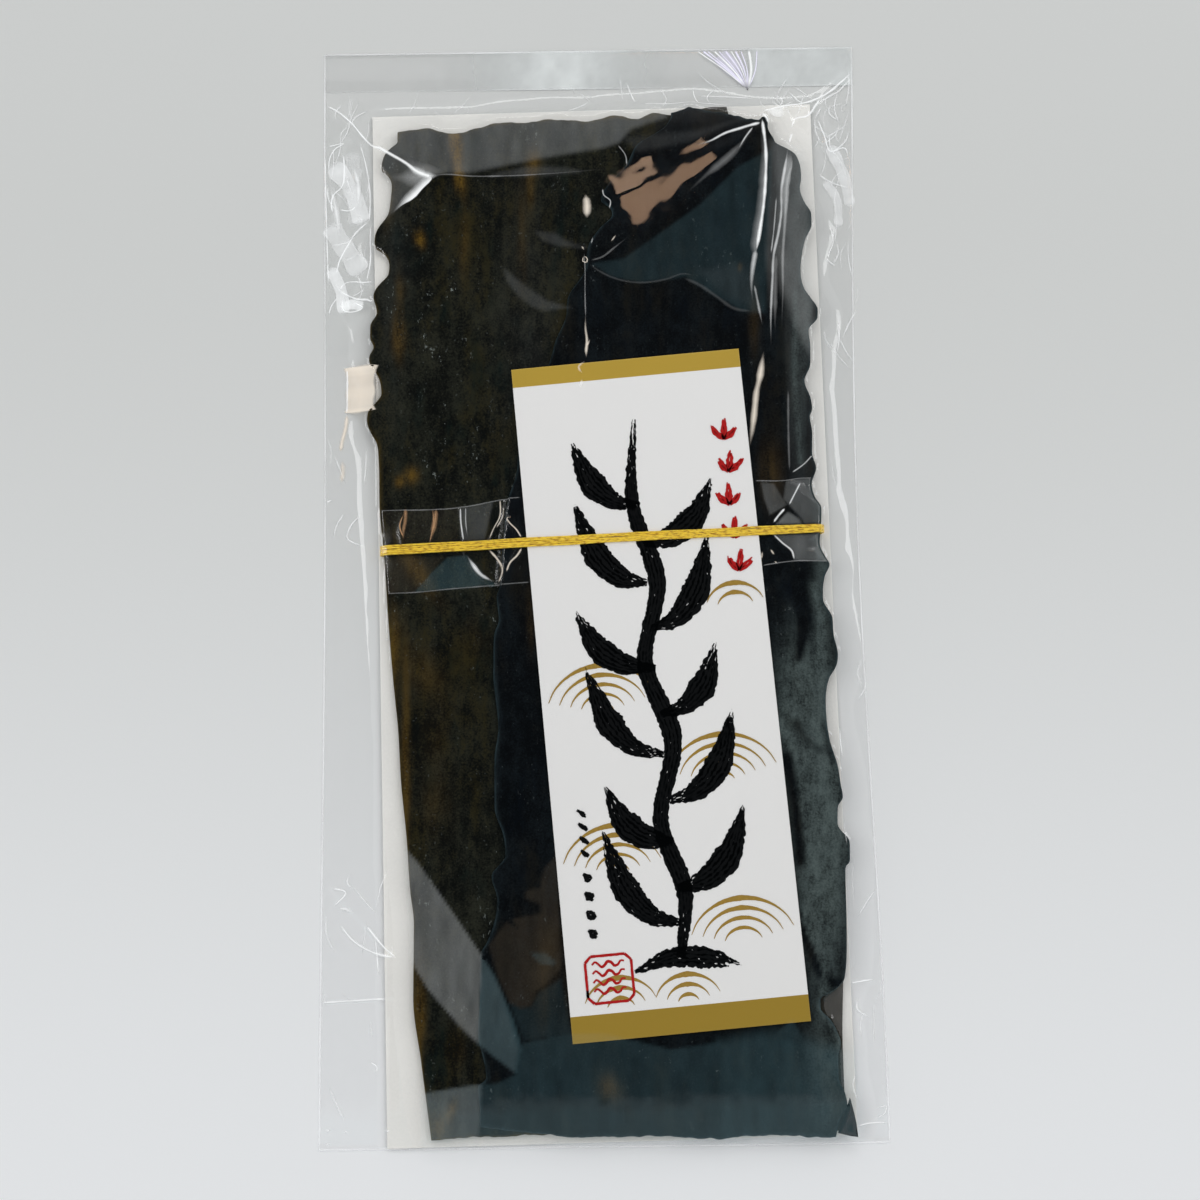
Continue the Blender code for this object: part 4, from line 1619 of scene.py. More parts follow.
# Painted highlights on the film: the creases' whiteness and glow stand for glints of light on its folds, and the broad
# cream, lilac and copper ones for reflections of the room.
FILM_CREASES = (
    # upper left corner
    Crease(((-84.2, 153), (-80, 150.5), (-76, 147), (-72, 142), (-68.1, 137.8), (-65, 136)), 0.8, 0.9),
    Crease(((-68.5, 138), (-62.6, 134.4), (-57.9, 131.4), (-54.3, 128.5), (-50.2, 126.8)), 1.3, 1.0, end=0.03),
    Crease(((-58.5, 131.8), (-54.3, 128.6), (-50, 127), (-47.6, 127.2)), 3.2, 0.65, start=0.5, end=0.3),
    Crease(((-60, 133.6), (-54, 129.6), (-45, 127.6)), 6.0, 0.2, start=0.5, end=0.5),
    Crease(((-50, 127.2), (-53.3, 124.2), (-56.1, 121.3), (-58.9, 119), (-62.6, 115.2)), 3.0, 1.0, start=0.05, end=0.5, profile=Profile.RIGHT_SHARP),
    Crease(((-51.5, 126.6), (-58, 126.8), (-64, 127)), 7.5, 0.2, start=0.05, end=0.8),
    Crease(((-50.6, 127), (-45.9, 127.4), (-37.8, 126.6), (-25, 126.3), (-3.4, 127.3), (9.2, 128.4)), 0.6, 0.16, end=0.6),
    # left margin
    Crease(((-84, 139.1), (-78.4, 140), (-80.8, 138.6), (-82.6, 135.7), (-83.1, 130.9)), 0.5, 0.9),
    Crease(((-81.7, 138.6), (-81.5, 133.7), (-82.1, 128.9)), 0.5, 0.7),
    Crease(((-78.4, 136.6), (-78.1, 131.8), (-78.8, 126), (-81.6, 123.1), (-82.1, 119.3), (-81.4, 116.9)), 0.8, 0.9),
    Crease(((-79.7, 118.3), (-76, 118.2), (-74.2, 119.6)), 0.6, 0.85),
    Crease(((-73.3, 140.4), (-71.4, 133.6), (-70, 124.9), (-70, 113.3)), 0.6, 0.8),
    Crease(((-70, 114.3), (-74.2, 111), (-76.9, 106.7), (-79.7, 101.1), (-80.6, 96.3)), 0.8, 0.9),
    Crease(((-79.6, 92), (-78.3, 93.9), (-68.6, 94.2)), 0.6, 0.85),
    Crease(((-79.6, 92), (-75, 89.6), (-69.5, 87.6), (-68.3, 86.6)), 0.8, 0.85),
    Crease(((-80.1, 89.7), (-81.9, 87.3), (-82.8, 84.5)), 0.7, 0.9),
    Crease(((-78.6, 89.8), (-78, 85.6), (-72, 86.2), (-75.6, 88.6)), 0.7, 0.95),
    Crease(((-69.3, 112.4), (-69.5, 101.9), (-70.9, 94.3)), 0.6, 0.8),
    Crease(((-84.2, 136.7), (-83.9, 122.2), (-83.4, 105.9), (-82.9, 92.5)), 0.6, 0.85),
    Crease(((-75.4, 138), (-75, 124), (-74.4, 112)), 5.0, 0.3, profile=Profile.FACET),
    Crease(((-79.2, 86.4), (-76, 87.6), (-71.6, 86.4)), 3.2, 0.7, profile=Profile.FACET),
    Crease(((-82.4, 134), (-76, 125), (-72, 113)), 6.0, 0.55, profile=Profile.FACET),
    Crease(((-83, 114), (-78, 106), (-72, 97)), 7.0, 0.5, profile=Profile.FACET),
    Crease(((-82.6, 100), (-79, 92), (-78, 84)), 4.0, 0.65, profile=Profile.FACET),
    Crease(((-83, 128), (-80.6, 118), (-79.4, 108)), 2.2, 0.7, start=0.4, end=0.4),
    Crease(((-75.6, 134), (-73.6, 126), (-73.8, 118)), 1.8, 0.75, start=0.4, end=0.4),
    Crease(((75.5, 138), (80, 127), (82, 116)), 4.0, 0.5, profile=Profile.FACET),
    Crease(((73.5, 126), (77.4, 120), (77.8, 110)), 3.0, 0.45, profile=Profile.FACET),
    # Painted reflection: a broad cream patch on the left margin.
    Crease(((-72.3, 67.6), (-72.6, 52.2)), 10.4, 0.8, CreaseColour.CREAM, start=0.02, end=0.02, profile=Profile.FACET),
    Crease(((-76.9, 67.6), (-76.9, 59), (-77, 52)), 0.9, 0.85),
    Crease(((-76.9, 52.3), (-77.4, 48), (-78.4, 44), (-79, 40.6)), 1.5, 0.8, CreaseColour.CREAM),
    Crease(((-78.4, 38), (-78.2, 34), (-78.8, 30.2)), 2.2, 0.6, CreaseColour.CREAM, 0.3, 0.3),
    Crease(((-83.6, 24.5), (-81.4, 25.6)), 0.8, 0.9),
    Crease(((-80.7, -93.1), (-76.9, -94.4), (-80.3, -98.5)), 0.6, 0.8),
    Crease(((-79.6, -99.2), (-77, -99.4), (-74.3, -100.7)), 1.5, 0.8, start=0.4, end=0.4),
    Crease(((-78.6, -104), (-74.3, -109), (-68.4, -112.4), (-61.6, -113.8)), 0.9, 0.85),
    Crease(((-70.5, -104.5), (-65.9, -110), (-61.6, -113.8)), 0.9, 0.95),
    Crease(((-84.4, -126.9), (-78, -126.6), (-71.7, -126.3), (-64.2, -125.9)), 0.8, 0.85),
    Crease(((-82.5, -163.8), (-81, -164.2)), 0.9, 0.8, start=0.3, end=0.3),
    Crease(((-77.4, -164.3), (-75.6, -164.6)), 0.7, 0.7, start=0.3, end=0.3),
    Crease(((-64.9, -164), (-63.2, -164.3)), 0.8, 0.8, start=0.3, end=0.3),
    Crease(((-82.8, -167.8), (-81.2, -168)), 0.8, 0.8, start=0.3, end=0.3),
    *crinkles(-83.2, -70.5, 84, 150, 30, 3),
    *crinkles(-83.2, -70.5, 0, 60, 7, 4),
    *crinkles(-83.0, -60.5, -166, -90, 12, 5),
    # header and upper right corner
    *crinkles(71.5, 83.2, 60, 150, 22, 6),
    *crinkles(73, 83.2, -160, 40, 12, 7),
    *crinkles(-80, 80, 146, 155, 16, 8),
    *fan_creases(),
    Crease(((41.2, 168), (45.4, 163.8), (50.2, 158.2)), 5.6, 0.45, CreaseColour.LILAC, 0.02, 0.5, Profile.FACET),
    Crease(((34.7, 153.8), (42.6, 153.7), (51.4, 153.2)), 0.5, 0.6),
    Crease(((15.8, 150.8), (28.4, 150), (45.7, 149.4)), 0.5, 0.5),
    Crease(((83.4, 161.1), (80, 157.9), (73.2, 153), (66.4, 150.6), (60.7, 149.7), (55.4, 147.3), (53.7, 144.9)), 0.9, 0.95),
    Crease(((83.4, 159.4), (78.9, 154.9), (73.1, 151.5)), 0.6, 0.7),
    Crease(((73.4, 152.8), (71.7, 150.3), (68.7, 146.4), (64.9, 145.5), (63.8, 142.5)), 0.8, 0.85),
    Crease(((72.1, 146.3), (74.3, 140.3), (76, 135.3), (80.8, 136.2), (81.7, 133.3)), 0.6, 0.85),
    Crease(((72, 127.4), (77.6, 124.4), (81.4, 123.3)), 0.5, 0.6),
    Crease(((78.7, 127.3), (77, 120.4), (77.3, 112.6), (76.5, 104.7)), 0.5, 0.5),
    Crease(((63.8, 140.5), (62.2, 135.5)), 0.8, 0.7),
    Crease(((53.8, 145.4), (55.4, 144), (55.9, 142)), 1.2, 0.95),
    Crease(((55.4, 146.2), (58.6, 147.2), (62.6, 147.8)), 3.4, 0.5, start=0.3, end=0.4, profile=Profile.FACET),
    *crinkles(69, 82.5, 132, 150, 16, 9),
    *crinkles(54.5, 68, 144, 152, 9, 10),
    # hub beside the kelp's upper right corner
    Crease(((54, 143.6), (54.9, 133), (54.5, 123.2), (53.7, 115.4), (52.4, 107.6), (50.9, 99.8)), 1.25, 1.0, start=0.04, end=0.12),
    Crease(((53.3, 141), (54.1, 133), (53.5, 123.2), (52.6, 115.4), (51.2, 107.6), (49.8, 99)), 2.8, 0.25, start=0.4, profile=Profile.RIGHT_SHARP),
    Crease(((51, 101.4), (49.8, 95), (49.3, 90), (49.6, 84)), 1.7, 0.45, start=0.1, end=0.7),
    Crease(((53.4, 142.3), (50.5, 141.6), (47.2, 140.6), (42.4, 139.1), (37.1, 136.4), (29.9, 134.9)), 1.1, 0.85, start=0.04, end=0.6),
    Crease(((51, 140.8), (48.5, 137.5), (46, 133.1)), 0.8, 0.55, end=0.6),
    Crease(((50.4, 139), (44.1, 132.2), (35.4, 124.9), (28.7, 118.7)), 2.8, 0.12, start=0.3, end=0.6),
    Crease(
        (
            (62, 134.4), (60.6, 127), (59.4, 120.2), (59.2, 113.3), (58.1, 106.5), (56.5, 99.7), (55.9, 92),
            (55, 78.5), (54.9, 70),
        ),
        1.1, 0.5, end=0.25,
    ),
    Crease(((63.5, 130.9), (61.4, 123.1), (60.7, 115.3), (60, 107.5), (59.3, 99.7), (59, 88.1), (58.2, 74.6)), 1.3, 0.26, end=0.5),
    Crease(((57.8, 118.2), (56.7, 107.5), (55.6, 99.7)), 0.6, 0.35),
    Crease(((62.6, 133), (60.9, 122), (60.2, 110)), 2.6, 0.2, start=0.2, end=0.4, profile=Profile.FACET),
    Crease(((57.2, 100), (56.6, 88), (56.2, 74)), 1.6, 0.12, end=0.4),
    Crease(((59.8, 57), (59.5, 44), (59.5, 31)), 0.8, 0.10),
    # over the kelp
    Crease(((-1.2, 97.6), (2, 95.2), (5.5, 93.3), (10, 91.8), (14.8, 91.2), (22.6, 92.1), (28.8, 93.8), (32, 93)), 0.8, 0.035),
    Crease(((28, 92.6), (32.8, 90.4), (38.4, 86.4), (43.9, 82.5), (49.5, 81.5)), 1.2, 0.035),
    Crease(((-0.5, 98.5), (3, 99.5), (7, 102.5), (12, 106.5)), 0.7, 0.10, end=0.5),
    Crease(((-2.4, 101), (-2.2, 96), (-2.3, 88), (-2.2, 80)), 0.5, 0.2),
    Crease(((-2.6, 99.9), (-1.5, 99.3), (-1.7, 97.9), (-2.8, 98.2), (-2.6, 99.9)), 0.45, 0.8, CreaseColour.CREAM),
    Crease(((-3.2, 103.2), (-2.4, 101.9)), 0.8, 0.7, CreaseColour.CREAM, 0.3, 0.3),
    Crease(((6, 104.5), (7.6, 106.6)), 0.6, 0.6, CreaseColour.CREAM, 0.3, 0.3),
    Crease(((-0.2, 103.8), (0.4, 106)), 0.5, 0.35),
    Crease(((3.6, 121.6), (3.9, 119.6), (6.0, 117.6), (5.6, 115)), 0.5, 0.5),
    Crease(((8.7, 135.6), (11, 132), (11.3, 129)), 0.5, 0.3),
    Crease(((-1.7, 119.8), (-1.3, 116), (-1.5, 112.2)), 2.8, 0.8, CreaseColour.CREAM, 0.25, 0.25),
    Crease(((-2.2, 82), (-2.3, 77), (-1.9, 73), (-2.2, 69.4), (-2.2, 67.6)), 1.1, 0.8, CreaseColour.CREAM, 0.6, 0.15),
    Crease(((-0.9, 73.4), (-2.2, 71)), 0.8, 0.7, CreaseColour.CREAM, 0.6, 0.2),
    Crease(((-2.6, 66.5), (-4.6, 64.6), (-3.4, 62.6)), 0.9, 0.5, CreaseColour.CREAM, 0.3, 0.3),
    Crease(((-3.4, 60.8), (-4.4, 58.4)), 1.1, 0.45, start=0.3, end=0.3),
    Crease(((52.6, 69), (51, 60), (50, 56), (49.5, 52), (49, 48), (48.4, 44), (47.4, 38.6)), 2.2, 0.75, CreaseColour.CREAM, 0.2, 0.3),
    Crease(((50.2, 90), (51.2, 84), (52.4, 77)), 0.9, 0.3, end=0.4),
    # lower part
    Crease(((73.8, -122.9), (81.2, -122.4)), 0.6, 0.8),
    Crease(((74.8, -163.9), (83.6, -164)), 0.6, 0.8),
    Crease(((81.4, -159.7), (83.8, -159.2), (83.1, -161.4), (80.7, -162.6)), 0.5, 0.8),
)

STRIP_CREASES = (
    Crease(((-66.3, 21.1), (-41.4, 21.8), (-37.7, 22.3), (-28.8, 23.9), (-22.9, 24.4)), 0.5, 0.16, start=0.0, end=0.0),
    Crease(((-64.2, -4.5), (-56.5, -4.3), (-44, -3.3), (-30.3, -2.4), (-20.3, -1.8)), 0.5, 0.14, start=0.0, end=0.0),
    Crease(((48.9, 28.5), (58.6, 28.5), (62.9, 29.1), (67.6, 29.1)), 0.5, 0.2, start=0.0, end=0.0),
    Crease(((50.6, 2.3), (54.4, 2.9), (59.6, 3.5), (70.7, 3.3)), 0.5, 0.2, start=0.0, end=0.0),
    # Painted reflections: copper glints on the strip's folds.
    Crease(((-58.2, 21.6), (-58.3, 18), (-58.9, 14.6), (-58.8, 11.6)), 1.5, 0.5, CreaseColour.COPPER, 0.1, 0.4),
    Crease(((-58.8, 20), (-60, 16.4), (-58.8, 12.4)), 0.5, 0.7, CreaseColour.COPPER, 0.2, 0.2),
    Crease(((-48.8, 21.3), (-49.3, 17.4), (-50.8, 10.8)), 1.7, 0.5, CreaseColour.COPPER, 0.1, 0.5),
    Crease(((-49.9, 21.5), (-49.7, 17), (-50.9, 11)), 0.4, 0.6, CreaseColour.COPPER),
    Crease(((-41.4, 21.7), (-41.3, 17.5), (-40.5, 11.5)), 0.7, 0.8, start=0.02),
    Crease(((-39.8, 21.8), (-39.8, 17.5), (-39.2, 12)), 0.5, 0.4, start=0.02, end=0.4),
    Crease(((-29.2, 23.9), (-29.3, 18.9), (-31.4, 14.8), (-32.7, 11.7)), 0.6, 0.8, CreaseColour.CREAM, 0.02),
    Crease(((-28.2, 22), (-28.4, 19), (-30.4, 15.2)), 0.5, 0.5, CreaseColour.CREAM),
    Crease(((-26.2, 18.3), (-27.1, 18), (-26.4, 16.7), (-24.2, 14.4), (-22.7, 11.9)), 0.6, 0.8, CreaseColour.CREAM),
    Crease(((-39.6, 7), (-37.8, 4.2), (-35.3, 1), (-31.5, -1.3)), 1.5, 0.75, start=0.4, end=0.3),
    Crease(((-32.7, 8.5), (-30.2, 5.6), (-28.7, 2.8), (-29, 0.3), (-30, -1.6)), 0.9, 0.85, CreaseColour.CREAM),
    Crease(((-22.6, 8.7), (-24, 6.5), (-26.2, 4.3), (-27.4, 1.5)), 0.7, 0.75, CreaseColour.CREAM),
    Crease(((62.9, 27.8), (60.1, 22.6), (59.2, 20.9)), 0.6, 0.7),
    Crease(((57.9, 19.8), (55.7, 17.4), (54.3, 15.5)), 0.8, 0.85),
    Crease(((54.2, 11.8), (56.8, 9.2), (59.7, 6.5), (60.3, 3.9)), 0.7, 0.75),
    Crease(((50.7, 6.7), (50.2, 4.1)), 0.9, 0.75, CreaseColour.CREAM, 0.3, 0.3),
    Crease(((53.1, 7.3), (54.3, 5.5)), 0.8, 0.75, CreaseColour.CREAM, 0.3, 0.3),
    Crease(((54.2, 3.6), (55.1, 2.9)), 0.7, 0.75, CreaseColour.CREAM, 0.3, 0.3),
    Crease(((67, 36.5), (64, 33.4), (60.4, 30.9)), 0.5, 0.4),
)

# Painted reflections on the clear strip's facets, laid on as soft whitening.
STRIP_VEILS = (
    Veil(((-41.4, 21.7), (-31.4, 23.4), (-34, 11.7), (-40.5, 11.5)), 0.055, 1.0),
    Veil(((-55.6, -4.3), (-50.3, 1.8), (-45.3, 6.5), (-39.6, 6.9), (-34, 0.3), (-30.5, -2.3), (-44, -3.3)), 0.05, 0.8, Tint.COOL),
    Veil(((-66, -4.5), (-55.6, -4.3), (-50.3, 1.8), (-47, 6.5), (-66, 6.5)), 0.025, 2.0, Tint.WARM),
    Veil(((-66, 21), (-42, 21.6), (-42, 11.5), (-66, 11.5)), 0.012, 1.0, Tint.WARM),
    Veil(((50.8, 28), (54.7, 27.5), (58.4, 20.9), (53.3, 17.9), (51.7, 22.7)), 0.07, 0.8),
    Veil(
        (
            (58.6, 28.5), (67.6, 29.1), (66.3, 26), (66.6, 23), (69.1, 19.9), (68.7, 15.5), (63.8, 14.9),
            (62.6, 16.9), (59.2, 20.9), (57.5, 22.7),
        ),
        0.09, 0.8,
    ),
    Veil(((58.7, 18.7), (62.1, 16.5), (62.9, 14.9), (55.2, 15.1)), 0.14, 0.8),
    Veil(((54.2, 11.8), (68, 11.6), (68.3, 6.4), (70.7, 3.3), (60.3, 3.9), (59.7, 6.5)), 0.11, 0.8),
)

# Painted sheen and reflections of the room, laid on the front film as soft whitening.
FILM_VEILS = (
    # along the olive sheet's upper end, and the soft band below it
    Veil(
        (
            (-66, 138), (-62, 134), (-55, 131.5), (-47, 128), (-38, 127.8), (-28.4, 129.5), (-20, 131), (-12.7, 132.2),
            (-4, 133.6), (4, 134.8), (9, 136.5), (13, 141), (24, 144.5), (24, 150), (-70, 148),
        ),
        0.085, 2.0,
    ),
    Veil(((-31, 126.9), (-20, 129), (-8, 128.6), (-3, 127.2), (-12, 126.3), (-24, 126.2)), 0.04, 2.0),
    # between the two arms of the upper left crease
    Veil(
        (
            (-66, 137.2), (-60, 133), (-54, 128.6), (-50, 126.6), (-54, 123.6), (-58, 119.6), (-62, 115.8),
            (-65, 113.6), (-65.5, 126),
        ),
        0.065, 2.0,
    ),
    # the left margin's upper part
    Veil(((-84, 150), (-77, 146), (-69.5, 138), (-70, 80), (-78, 72), (-84, 72)), 0.07, 5.0),
    # lens shapes beside the overlap
    Veil(((-27.7, 96.9), (-26.5, 92.5), (-23, 87.6), (-19, 84.3), (-14.8, 82.6), (-7, 83.6), (-14, 85.8), (-20.5, 90.5)), 0.034, 1.2),
    Veil(((-17.6, 108.2), (-11.4, 107.4), (-8, 105), (-1, 102.4), (-9.9, 103.2), (-15, 105)), 0.03, 1.5),
    # right of the crease that runs down from the hub
    Veil(((10, 138), (20, 138.6), (33, 140), (50, 144.4), (44, 142), (34, 137.4), (25, 135.2), (15, 133.4)), 0.022, 2.5),
    Veil(
        (
            (0, 97.5), (5.5, 93.3), (14.8, 91.2), (22.6, 92.1), (28.8, 92.8), (38.4, 86.4), (47, 81.5), (53.5, 81),
            (54.5, 100), (56, 118), (57, 134), (46, 128), (34, 116), (20, 106), (10, 99),
        ),
        0.024, 1.2, Tint.COOL,
    ),
    Veil(((33, 95), (47, 97), (50, 92), (50, 83), (42, 86)), 0.012, 4.0),
    Veil(((56.5, 136), (61, 137), (67.5, 134), (68, 100), (68.5, 64), (62, 78), (58.5, 90), (56.6, 100), (57.5, 118)), 0.10, 4.0),
    Veil(((56.5, 136), (61, 137), (60, 122), (57.5, 110), (55, 84), (54, 100), (55.4, 118)), 0.05, 2.0),
    Veil(((58.6, 92), (68, 92), (68.5, 56), (68.5, 27), (59.8, 27), (59.6, 56)), 0.012, 2.0),
    # the lower crescent and the lower end
    Veil(
        (
            (-58.6, -81), (-54.2, -86.2), (-43.8, -101), (-35.6, -113.1), (-35.9, -120.8), (-36.5, -130.1),
            (-36.8, -138.6), (-42.2, -133.5), (-51.3, -123.1), (-57, -114),
        ),
        0.112, 0.7,
    ),
    Veil(
        (
            (-35.6, -113.1), (-31.7, -119.2), (-26.2, -132), (-23.6, -140.5), (-25.4, -147.4), (-32.7, -142),
            (-36.8, -138.6), (-36.5, -130.1), (-35.9, -120.8),
        ),
        0.055, 1.0, Tint.COOL,
    ),
    Veil(((-35.6, -113.1), (-30, -123), (-25, -140), (-26, -147), (-36.8, -138.6), (-36, -122)), 0.022, 1.5),
    Veil(
        (
            (-33.4, -110.2), (-28.1, -103.4), (-24.6, -105.6), (-26.3, -102.6), (-17.6, -101), (-18, -98.4),
            (-22.4, -96.6), (-22.4, -94.4), (-18, -93.6), (-16.6, -87.6), (-13.1, -84.2), (-12.1, -116.9),
            (-15.2, -120.2), (-19.6, -123.6), (-20.9, -127.8), (-24, -128.6), (-27.4, -126.9), (-30.8, -119.2),
        ),
        0.022, 1.2, Tint.WARM,
    ),
    Veil(((-21.2, -112.5), (-16.9, -112.5), (-13.4, -115.2), (-14.3, -116.4), (-18.6, -115.5)), 0.035, 0.7, Tint.COOL),
    Veil(
        (
            (-27.4, -126.9), (-24, -128.6), (-20.9, -128.2), (-18.7, -124), (-12.2, -120.3), (-9, -137),
            (-18, -137.2), (-23.2, -137.9), (-24.9, -133.7),
        ),
        0.018, 1.5, Tint.COOL,
    ),
    Veil(
        (
            (-54, -153), (-39.7, -150.8), (-31, -150), (-25.8, -147.6), (-24.5, -142.1), (-23.2, -138.4),
            (-18, -137.6), (-12.6, -136.2), (0, -136), (20, -141), (50, -137), (56, -133), (60, -140),
            (75, -144), (76, -169), (-54, -169),
        ),
        0.032, 1.2, Tint.COOL,
    ),
    Veil(((-54, -153), (-39.7, -150.8), (-36, -150.5), (-37, -169), (-54, -169)), 0.058, 1.0),
    Veil(((34, -139), (50, -136), (60, -139), (75, -143), (76, -169), (30, -169)), 0.046, 6.0, Tint.COOL),
)

FILM_FOLDS = (
    Fold(((54, 143), (38, 131), (20, 119)), 3.2, 0.012),
    Fold(((54, 143), (34, 134), (14, 128)), 2.4, -0.008),
    Fold(((8, 119), (16, 122)), 1.6, 0.012),
    Fold(((-84, 153), (-74, 143), (-68, 137)), 1.6, 0.3),
    Fold(((-77, 140), (-76.5, 129), (-78.5, 121), (-81, 114)), 1.5, 0.3),
    Fold(((-72, 111), (-77, 103), (-80, 95), (-78.5, 86), (-74, 78)), 1.4, 0.3),
    Fold(((-75, 70), (-76.5, 40), (-76, 10), (-77, -30), (-74, -80)), 2.5, 0.08),
    Fold(((-81.5, -92), (-73, -101), (-66, -109), (-61, -112)), 1.3, 0.25),
    Fold(((83.5, 161.6), (73, 153), (60, 148.5), (55, 147)), 1.4, 0.3),
    Fold(((73, 153), (65, 144)), 1.2, 0.2),
    Fold(((72, 152), (75, 138), (72, 128), (76, 110)), 1.1, 0.25),
    Fold(((78, 140), (76, 100), (78, 60), (77, 20), (79, -20), (78, -60), (79, -110)), 2.0, 0.09),
    Fold(((-84, -126), (-63, -125)), 0.8, 0.15),
    Fold(((73.8, -122.9), (83, -122.4)), 0.8, 0.15),
)


@dataclass(frozen=True)
class ClearStrip:
    """Clear film wrapped once round the kelp under the label and the elastic."""

    sheets: tuple[KelpSheet, ...]
    lower: SideLine = SideLine(((-68, -4.8), (-54, -4.2), (-29, -2.7), (53, 2.6), (73, 3.6)))
    upper: SideLine = SideLine(((-68, 21.3), (-41.5, 21.6), (-35.5, 23), (-23, 24.1), (49, 28.3), (73, 29.5)))
    folds: tuple[Fold, ...] = (
        Fold(((-41, 22), (-40.5, 14), (-39.5, 6), (-36, 1), (-32, -2)), 0.8, 0.3),
        Fold(((-29, 24), (-29, 18), (-32.5, 10), (-28, 3), (-29.5, -2)), 0.7, 0.3),
        Fold(((-27, 18), (-22.5, 10), (-27, 3)), 0.7, 0.3),
        Fold(((-58.5, 21), (-59.5, 14), (-58.5, 9)), 1.0, 0.25),
        Fold(((-48.5, 21), (-50.5, 8)), 1.0, 0.25),
        Fold(((60.5, 27), (70.5, 18), (66, 11)), 1.2, 0.35),
        Fold(((66, 6.5), (72.5, 0)), 1.0, 0.3),
        Fold(((62, 27), (62, 4)), 2.0, 0.25),
    )

    def at(self, right: np.ndarray, up: np.ndarray) -> np.ndarray:
        """Height of the strip, laid over the kelp.

        Args:
            right: Distances to the right.
            up: Distances up the pouch.

        Returns:
            Heights, in mm.
        """
        height = np.full(right.shape, LAYERS.card_top)
        for sheet in self.sheets:
            over = np.where(sheet.inset(right, up) > 0.2, sheet.height(right, up) + 0.1, 0.0)
            height = np.maximum(height, over)
        for fold in self.folds:
            height = height + fold.at(right, up)
        return height

    def build(self) -> bpy.types.Object:
        """Make the strip's piece.

        Returns:
            The piece.
        """
        share = np.linspace(0.0, 1.0, 60)[:, None]
        across = np.linspace(-66.5, 71.0, 260)[None, :]
        up = self.lower.at(across) + (self.upper.at(across) - self.lower.at(across)) * share
        left = OLIVE_LEFT.at(up) - 0.35
        right = DARK_RIGHT.at(up) + 0.35
        places = left + (right - left) * (across - across[0, 0]) / (across[0, -1] - across[0, 0])
        height = self.at(places, up)
        for _ in range(3):
            height[:, 1:-1] = np.maximum(height[:, 1:-1], (height[:, 2:] + height[:, :-2]) / 2)
        height[:, 0] = LAYERS.card_top
        height[:, -1] = LAYERS.card_top
        finish = FilmFinish("strip_film", mirror=0.045, roughness=0.09, tint=0.99, ripple_mm=0.06, has_painted_sheen=True)
        surface = Surface.from_grid(places, up, height, **painted_sheens(places, up, STRIP_VEILS, 0.25))
        return surface.piece("clear_strip", finish.material(), "pouch_film")


